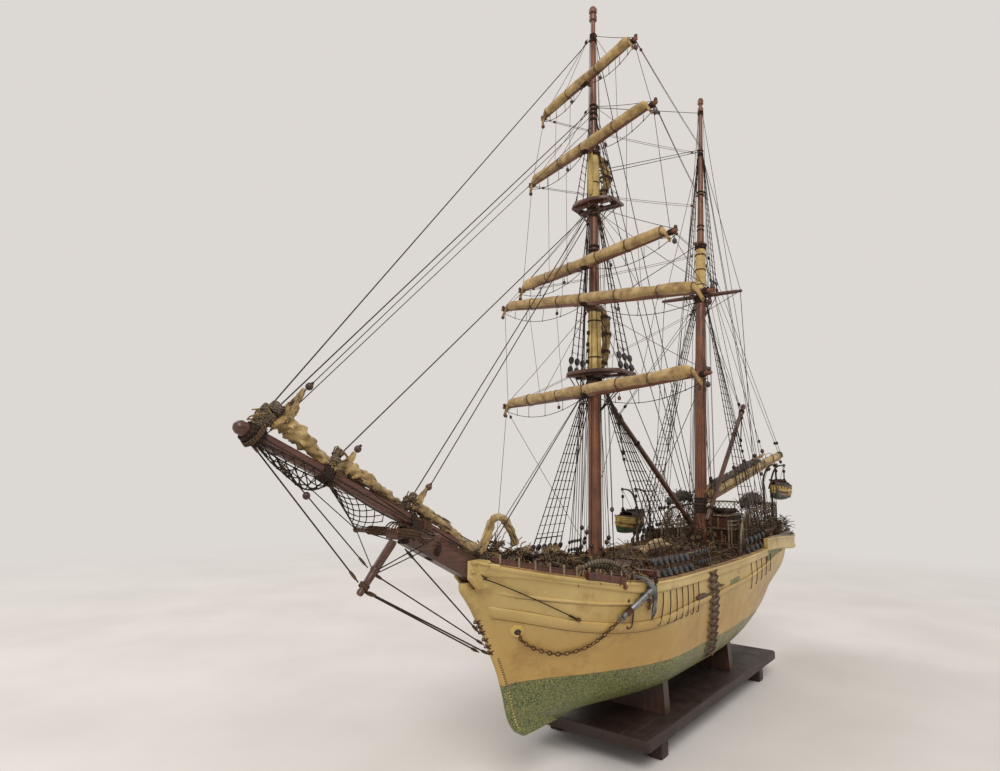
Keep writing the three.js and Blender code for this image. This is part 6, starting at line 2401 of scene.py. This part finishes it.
def make_fence():
    """The pale hooped fence round the poop, with the netting in it and the bundles on it."""
    fence, net = Form(), Form()
    for side in SIDES:
        rise = [(134, side * 66, 196), (135, side * 66, 210), (139, side * 66, 230),
                (149.5, side * 66, 247.5), (164, side * 66, 255.5), (182, side * 66, 260.5),
                (230, side * 65, 263.5), (278, side * 63, 266), (335, side * 60, 267.5),
                (385, side * 54, 268), (420, side * 35, 267), (431, side * 13, 266.5), (432, 0, 266.5)]
        fence.tube(curve(rise, 8), 1.8, 8)
        for x, y, z in rise[3:]:
            fence.line((x, y, 206), (x, y, z), 0.9)
        lower = [(x, y, 232) for x, y, _ in rise[3:]]
        fence.tube(curve(lower, 6), 0.9, 6)

        def mesh_at(t, s):
            line = curve(rise[3:], 8)
            p = line[min(int(t * (len(line) - 1)), len(line) - 1)]
            sway = noise.noise(Vector((t * 9, s * 3, side))) * 2
            return Vector((p.x, p.y + sway, mix(208, p.z - 1, s)))

        diamonds(net, mesh_at, 72, 12, 0.5, knots=False)
        hump = [(158, side * 62, 268), (174, side * 63, 275), (196, side * 63, 279),
                (222, side * 62, 281), (244, side * 61, 278), (258, side * 60, 271)]
        bundle = Bunt(16 + side, 1.5)
        cloth(f"netting_bundle_{SIDES[side]}", bundle.rows(hump, [4, 8.5, 10.5, 10.5, 8.5, 4]),
              held="folded", rests_on=("poop_fence",), material=cover_cloth)
        rng = random.Random(70 + side)
        tangle(net, rng, lambda: (rng.uniform(158, 258), side * rng.uniform(52, 74),
                                  rng.uniform(262, 288)), 130, (TAR,), 3.4, (0.3, 0.5))
    piece("poop_fence", fence, trim_wood)
    piece("poop_netting", net, brown_line)
    rail = Form()
    railing(rail, [(176, -70, 224), (230, -74, 224), (300, -73, 224), (360, -66, 224), (404, -50, 224),
                   (428, -24, 224), (433, 0, 224), (428, 24, 224), (404, 50, 224), (360, 66, 224),
                   (300, 73, 224), (230, 74, 224), (176, 70, 224)], 12, 15)
    piece("poop_stanchions", rail, house_wood)


def make_boats():
    """Two hanging boats, each with its cover, thwarts and falls."""
    for side, word in SIDES.items():
        spec, body = BOATS[side], f"{word}_boat"
        long, wide, deep = BOAT["length"], BOAT["width"], BOAT["depth"] * (0.74 if side == PORT else 0.92)
        at = Vector((spec["x"], spec["y"], spec["top"] - (3 if side == PORT else 11)))

        def breadth(u):
            """The boat's half width at a share of its length."""
            return wide / 2 * sin(pi * u) ** 0.55

        def section(u, turn):
            """A point on the shell, from one gunwale (-90 degrees) round the keel to the other."""
            end = sin(pi * clamp(u, 0.004, 0.996)) ** 0.55
            half = max(0.25, wide / 2 * end)
            low = -deep + 6 * (1 - end)
            high = 3 * (2 * u - 1) ** 2
            lap = 0.35 * abs(sin(turn * 4.5))
            y = (half + lap) * sin(turn)
            z = mix(high, low - lap * 0.5, max(0.0, cos(turn)) ** 0.8)
            return at + Vector(((u - 0.5) * long, y, z))

        turns = steps(-pi / 2, pi / 2, 28)
        us = [ease_ends(t) for t in steps(0, 1, 34)]
        shell = Form()
        rows = [[section(u, t) for t in turns] for u in us]
        for i in range(len(rows) - 1):
            for k in range(28):
                mark = 1 if abs(turns[k] + 0.055) < 0.86 else 0
                shell.add([rows[i][k], rows[i][k + 1], rows[i + 1][k + 1], rows[i + 1][k]],
                          [[0, 1, 2, 3]], mark)
        piece(f"boat_{word}_shell", shell, [boat_yellow, boat_green], body, thick=1.3,
              stands_for=(f"lifeboat_{word}",))
        inside = Form()
        for s in (-1, 1):
            inside.tube([section(u, s * pi / 2) + Vector((0, 0, 0.4)) for u in us], 0.95, 6)
            inside.tube([section(u, s * 1.18) + Vector((0, s * 0.5, 0)) for u in us], 0.7, 6)
        for u in (0.2, 0.36, 0.52, 0.68, 0.82):
            half = breadth(u) - 2
            x = at.x + (u - 0.5) * long
            inside.planed((x - 2.2, at.y - half, at.z - 5), (x + 2.2, at.y + half, at.z - 3.6), 0.4)
        inside.tube([section(u, 0) - Vector((0, 0, 0.6)) for u in us[2:-2]], 0.9, 6)
        for y in (-5, 4):
            inside.line(at + Vector((-34, y, -1)), at + Vector((30, y + 1.5, -1.4)), 0.7)
            inside.planed(at + Vector((26, y, -2)), at + Vector((38, y + 3, -1.2)), 0.3)
        piece(f"boat_{word}_thwarts", inside, house_wood, body)
        # A dark cover lies over the port boat's fore part and the starboard one's after part. On the port
        # boat the dark cloth is partly painted shade, where the boat's side lies in shadow.
        cover = []
        first, last = (0.02, 0.60) if side == PORT else (0.36, 0.98)
        for u in steps(first, last, 30):
            row = []
            for t in steps(-1, 1, 26):
                fold = noise.noise(Vector((u * 16, t * 4, side * 3))) * 1.1
                crown = 6 * (1 - t * t) ** 0.7
                drop = -21 * smooth(abs(t), 0.66, 1.0)
                out = 1.02 - 0.16 * smooth(abs(t), 0.8, 1.0)
                row.append(at + Vector(((u - 0.5) * long,
                                        t * (breadth(u) + 1.2) * out
                                        + (0.5 * fold if abs(t) > 0.7 else 0),
                                        crown + drop + fold + 2.2)))
            cover.append(row)
        cloth(f"boat_{word}_cover", cover, body, "laid", (f"boat_{word}_shell",), material=cover_cloth)
        rng = random.Random(60 + side)
        gear = Form()
        for _ in range(16):
            u = rng.uniform(first, last)
            coil(gear, at + Vector(((u - 0.5) * long, rng.uniform(-8, 8), 8 + rng.uniform(0, 2))),
                 rng.uniform(2.6, 4.6), rng, 3, 0.5, (rng.uniform(-0.4, 0.4), rng.uniform(-0.4, 0.4), 1),
                 mark=rng.choice((TAR, BROWN, BROWN)))
        for u in steps(first + 0.04, last - 0.04, 6):
            half = breadth(u) + 2
            path = [at + Vector(((u - 0.5) * long, half * t,
                                 8.4 * (1 - t * t) ** 0.6 - 5 * smooth(abs(t), 0.75, 1) + 1))
                    for t in steps(-1, 1, 14)]
            gear.tube(path, 0.5, 5)
        for d in (-1, 1):
            x = d * BOAT["davits"]
            tackle(gear, gear, at + Vector((x, 0, 6)), (at.x + x, at.y, spec["head"] - 6), 2.1, 0.34, 0.2)
        piece(f"boat_{word}_gear", gear, [tarred, brown_line], body)
        make_davits(side, word)


def make_davits(side, word):
    """Two curved davits with their stays, on a shelf."""
    spec = BOATS[side]
    arms = Form()
    x, foot, base, head = spec["x"], spec["foot"], spec["base"], spec["head"]
    reach = side * abs(spec["y"] - foot)
    for d in (-1, 1):
        a = x + d * BOAT["davits"]
        route = [(a, foot, base), (a, foot, head - 55), (a, foot, head - 40), (a, foot, head - 26),
                 (a, foot + reach * 0.28, head - 8), (a, foot + reach * 0.62, head - 1.5),
                 (a, spec["y"], head - 0.5)]
        path = curve(route, 6)
        arms.tube(path, [mix(2.1, 1.3, i / (len(path) - 1)) for i in range(len(path))], 10)
        arms.ball((a, spec["y"] + side * 0.6, head - 0.5), 2.7, sides=12, rings=7)
        arms.hoop((a, spec["y"], head - 4.4), (1, 0, 0), 1.6, 0.5)
        arms.lathe((a, foot, base - 0.5), (a, foot, base + 5),
                   [(0, 3.4), (0.3, 3.2), (0.5, 2.6), (1, 2.3)], 12)
        arms.line((a, foot, head - 20), (x, foot - side * 2, base + 12), 0.4)
        arms.line((a, spec["y"], head - 1), (a - d * 50, foot, base + 4), 0.36)
    arms.line((x - 25, spec["y"], head), (x + 25, spec["y"], head), 0.45, sag=1.4)
    arms.planed((x - 30, foot - 2.5, base - 3.6), (x + 30, foot + 2.5, base + 0.6), 0.7)
    piece(f"davits_{word}_forged", arms, davit_metal, stands_for=(f"davits_{word}",))


def boom_frame():
    """The main boom's own frame: +X out along it from the mast."""
    return (Matrix.Translation((BOOM["x"], 0, BOOM["z"]))
            @ Matrix.Rotation(-radians(BOOM["swing"]), 4, "Z")
            @ Matrix.Rotation(-radians(BOOM["rise"]), 4, "Y"))


def make_spanker():
    """The main boom and gaff with the sail furled between them, and the lines that carry them."""
    turn = boom_frame()
    poles = Form()
    poles.lathe((14, 0, 0), (BOOM["length"], 0, 0),
                [(0, 2.4), (0.02, 3.4), (0.05, 3.2), (0.4, 4), (0.9, 3.3), (0.91, 4), (0.95, 4),
                 (0.96, 2.8), (0.99, 2.9), (1, 1.4)], 18)
    poles.lathe((27, 0, 22), (236, 0, 22), [(0, 2.4), (0.02, 3.4), (0.5, 3.2), (0.9, 2.4), (0.91, 3),
                                            (0.94, 3), (0.95, 2.2), (1, 1)], 16)
    for z in (0, 22):
        for d in (-1, 1):
            jaw = [(14 + z * 0.6, d * 2.4, z), (6 + z * 0.3, d * 7, z), (-2 + z * 0.2, d * 10.4, z)]
            poles.tube(curve(jaw, 5), [2.2] * 11, 8)
    piece("spanker_boom_and_gaff", moved(poles, turn), spanker_wood, "spanker",
          stands_for=("main_boom", "main_gaff"))
    path = [(20, 0, 10), (40, 0, 9.6), (70, 0, 9), (105, 0, 9.2), (140, 0, 8.6), (175, 0, 8.4),
            (210, 0, 7.6), (240, 0, 6.8), (268, 0, 6.2), (286, 0, 5.6)]
    rows = Bunt(12, 2.0, 0.3).rows(path, [6, 8, 8.2, 8, 8, 7.8, 7.6, 7.2, 6.8, 5.8], 7, 50)
    crest = [(30, 0, 21), (52, 0, 23), (80, 0, 22), (110, 0, 21), (140, 0, 22), (168, 0, 21),
             (196, 0, 19), (212, 0, 16)]
    cloth("spanker_head_bunch", Bunt(15, 1.6).rows(crest, [3, 6.4, 5.4, 6, 6.6, 6.8, 5.4, 2.4]),
          "spanker", rests_on=("spanker_boom_and_gaff",), matrix=turn, material=cover_cloth)
    cloth("spanker_sail_furled", rows, "spanker", rests_on=("spanker_boom_and_gaff",),
          stands_for=("furled_spanker",), matrix=turn)
    bits, blocks = Form(), Form()
    rng = random.Random(9)
    blocks.lathe((284, 0, 5.6), (293, 0, 5.2), [(0, 5.4), (0.3, 6.2), (0.8, 6), (1, 4)], 14)
    for x in steps(34, 250, 6):
        reach = 10.5 if x < 236 else 7
        for d in (0, 1.2):
            path = [Vector((x + d + 0.5 * sin(a), sin(a) * 8.4, 10 + cos(a) * (reach + 2)))
                    for a in steps(0, tau, 18)]
            bits.tube(path, 0.36, 5)
    for x in (44, 78, 120, 160, 196, 228):
        pulley(blocks, (x, rng.uniform(-1, 1), 29), 2.7)
        bits.line((x, 0, 24), (x, 0, 29), 0.5)
    for x in (208, 240, 262, 288):
        pulley(blocks, (x, 0, -9), 2.3)
        bits.line((x, 0, -2), (x, 0, -9), 0.4)
    piece("spanker_gaskets", moved(bits, turn), brown_line, "spanker")
    piece("spanker_blocks", moved(blocks, turn), block_wood, "spanker")
    for name, a, b in (("topping_lift_port", (292, -2, 4), main_at(722, 6, -5)),
                       ("topping_lift_starboard", (292, 2, 4), main_at(722, 6, 5)),
                       ("peak_halyard", (228, 0, 26), main_at(708, 10, 0)),
                       ("peak_halyard_inner", (160, 0, 26), main_at(690, 10, 0)),
                       ("throat_halyard", (44, 0, 26), main_at(420, 12, 0)),
                       ("boom_sheet", (240, 0, -4), Vector((388, -6, 224))),
                       ("boom_guy_port", (262, -2, 0), Vector((396, -52, 222)))):
        start = turn @ Vector(a)
        ropes = Form()
        ropes.line(start, b, 0.42)
        pulley(ropes, start.lerp(b, 0.06), 2.1, b - start)
        pulley(ropes, start.lerp(b, 0.95), 2.1, b - start)
        piece(name, ropes, tarred, cross=("spanker", start, b))


def make_derricks():
    """Two derrick booms, each with its fall, span and guys."""
    for word, spec in DERRICKS.items():
        body = f"{word}_derrick"
        heel, end = Vector(spec["heel"]), Vector(spec["end"])
        ahead = (end - heel).normalized()
        form = Form()
        form.lathe(heel, end, [(0, 2.4), (0.01, 3.8), (0.05, 3.6), (0.06, 4.3), (0.1, 4.3), (0.11, 3.6),
                               (0.5, 3.9), (0.9, 3.3), (0.905, 4.2), (0.945, 4.2), (0.95, 3.1),
                               (0.965, 3.2), (0.97, 4.4), (0.99, 4.3), (1, 2.6)], 16)
        piece(f"{word}_derrick_turned", form, spar_wood, body, stands_for=(f"derrick_boom_{word}",))
        bits = Form()
        for share, count in ((0.925, 4), (0.72, 2), (0.08, 4)):
            for k in range(count):
                bits.hoop(heel.lerp(end, share) + ahead * k * 1.4, ahead, 4.4, 0.55, around=14)
        down = Vector((0, 0, -1))
        head = heel.lerp(end, 0.935)
        tackle(bits, bits, head + down * 4, head + down * 46 + (heel - end) * 0.06, 2.3, 0.36, 0.12)
        bits.ball(head + down * 49 + (heel - end) * 0.06, 2.4, sides=10)
        bits.line(head + down * 3, heel.lerp(end, 0.3) + down * 6, 0.36, sag=2)
        piece(f"{word}_derrick_falls", bits, tarred, body)
        top = main_at(612, -10 if word == "fore" else 10, 0)
        ropes = Form()
        for d in (-1, 1):
            ropes.line(head + Vector((0, d, 0)), top + Vector((0, d * 4, 0)), 0.4)
        pulley(ropes, head.lerp(top, 0.07), 2.3, top - head)
        pulley(ropes, head.lerp(top, 0.94), 2.3, top - head)
        piece(f"{word}_derrick_span", ropes, tarred, cross=(body, head, top))
        for side, hand in SIDES.items():
            foot = Vector((end.x + (30 if word == "fore" else -40), side * 88, 206 if word == "fore"
                           else 222))
            ropes = Form()
            ropes.line(head, foot, 0.36)
            pulley(ropes, head.lerp(foot, 0.9), 2, foot - head)
            piece(f"{word}_derrick_guy_{hand}", ropes, tarred, cross=(body, head, foot))


def make_wheel():
    """The wheel turns about a fore-and-aft axle on a carved stand."""
    x, z, radius = 330, POOP_DECK + 21, 11
    wheel = Form()
    for r, small in ((radius, 1.05), (radius - 2.6, 0.6), (4.4, 0.8)):
        wheel.hoop((x, 0, z), (1, 0, 0), r, small, around=36, sides=8)
    for i in range(8):
        a = pi * i / 4 + pi / 8
        out = Vector((0, cos(a), sin(a)))
        wheel.lathe(Vector((x, 0, z)) + out * 2.5, Vector((x, 0, z)) + out * (radius + 5),
                    [(0, 0.8), (0.3, 0.6), (0.42, 0.95), (0.5, 0.6), (0.72, 0.7), (0.76, 0.6),
                     (0.86, 1.0), (0.97, 0.8), (1, 0.3)], 8)
    wheel.lathe((x - 5, 0, z), (x + 5, 0, z), [(0, 1.4), (0.15, 2.6), (0.4, 3.2), (0.6, 3.2), (0.85, 2.6),
                                               (1, 1.4)], 14)
    wheel.lathe((x - 22, 0, z), (x - 4, 0, z), [(0, 1.8), (0.5, 1.6), (1, 1.8)], 12)
    piece("wheel_turned", wheel, house_wood, "wheel", stands_for=("steering_wheel",))
    stand = Form()
    for dx in (-19, -8):
        stand.planed((x + dx - 1.8, -4.5, 206), (x + dx + 1.8, 4.5, z - 2.4), 0.8)
    stand.planed((x - 23, -6.5, 205.6), (x - 5, 6.5, 208.4), 0.8)
    stand.planed((x + 6, -6, 205.6), (x + 26, 6, 218), 1)
    stand.lathe((x + 16, 0, 218), (x + 16, 0, 229), [(0, 4.6), (0.2, 4.2), (0.6, 4), (0.8, 3), (1, 1)],
                14)
    piece("wheel_stand", stand, house_wood)


def make_stand():
    """The board on its feet, and the rudder with its straps."""
    board = Form()
    long, wide = 478 / 2, 164 / 2
    low, high = 22.3, 35.8
    rows = []
    for inset, z in ((2.4, low), (0.7, low + 0.8), (0, low + 2.4), (0, high - 3), (0.8, high - 1),
                     (2.6, high)):
        ring = []
        corner = 4.5
        for cx, cy, a0 in ((1, 1, 0), (-1, 1, 1), (-1, -1, 2), (1, -1, 3)):
            for k in range(6):
                a = (a0 + k / 5) * pi / 2
                ring.append(Vector((cx * (long - corner) + cos(a) * (corner - inset),
                                    cy * (wide - corner) + sin(a) * (corner - inset), z)))
        rows.append(ring)
    board.grid(rows, closed=True, caps=True)
    piece("board_planed", board, board_wood, stands_for=("base_board",), angle=30)
    feet = Form()
    for sx in (-1, 1):
        for sy in (-1, 1):
            x, y = sx * (long - 48 - 9), sy * (wide - 7 - 9)
            feet.planed((x - 9, y - 9, 0), (x + 9, y + 9, 22), 1.2)
    piece("feet_planed", feet, board_wood, stands_for=("foot_port_fore", "foot_starboard_fore",
                                                       "foot_port_aft", "foot_starboard_aft"))
    blade = Form()
    hinge = STERN["post"] + 13
    for z0, z1, deep in ((60, 74, 26.5), (74.3, 88, 25), (88.3, 101, 23.5), (101.3, 114, 21),
                         (114.3, 134, 12)):
        blade.planed((hinge, -1.9, z0), (hinge + deep, 1.9, z1), 0.7)
    for z in (68, 94, 120):
        blade.planed((hinge - 2, -2.6, z - 1.6), (hinge + 12, 2.6, z + 1.6), 0.5, 1)
        blade.lathe((hinge - 1, 0, z - 3.4), (hinge - 1, 0, z + 3.4),
                    [(0, 1), (0.2, 1.7), (0.8, 1.7), (1, 1)], 10, 1)
    piece("rudder_planked", blade, [hull_mat, chain_metal], "rudder", stands_for=("rudder",))


make_bow()
make_bow_heaps()
make_bow_gear()
make_houses()
make_deck_rails()
make_fence()
make_boats()
make_spanker()
make_derricks()
make_wheel()
make_stand()
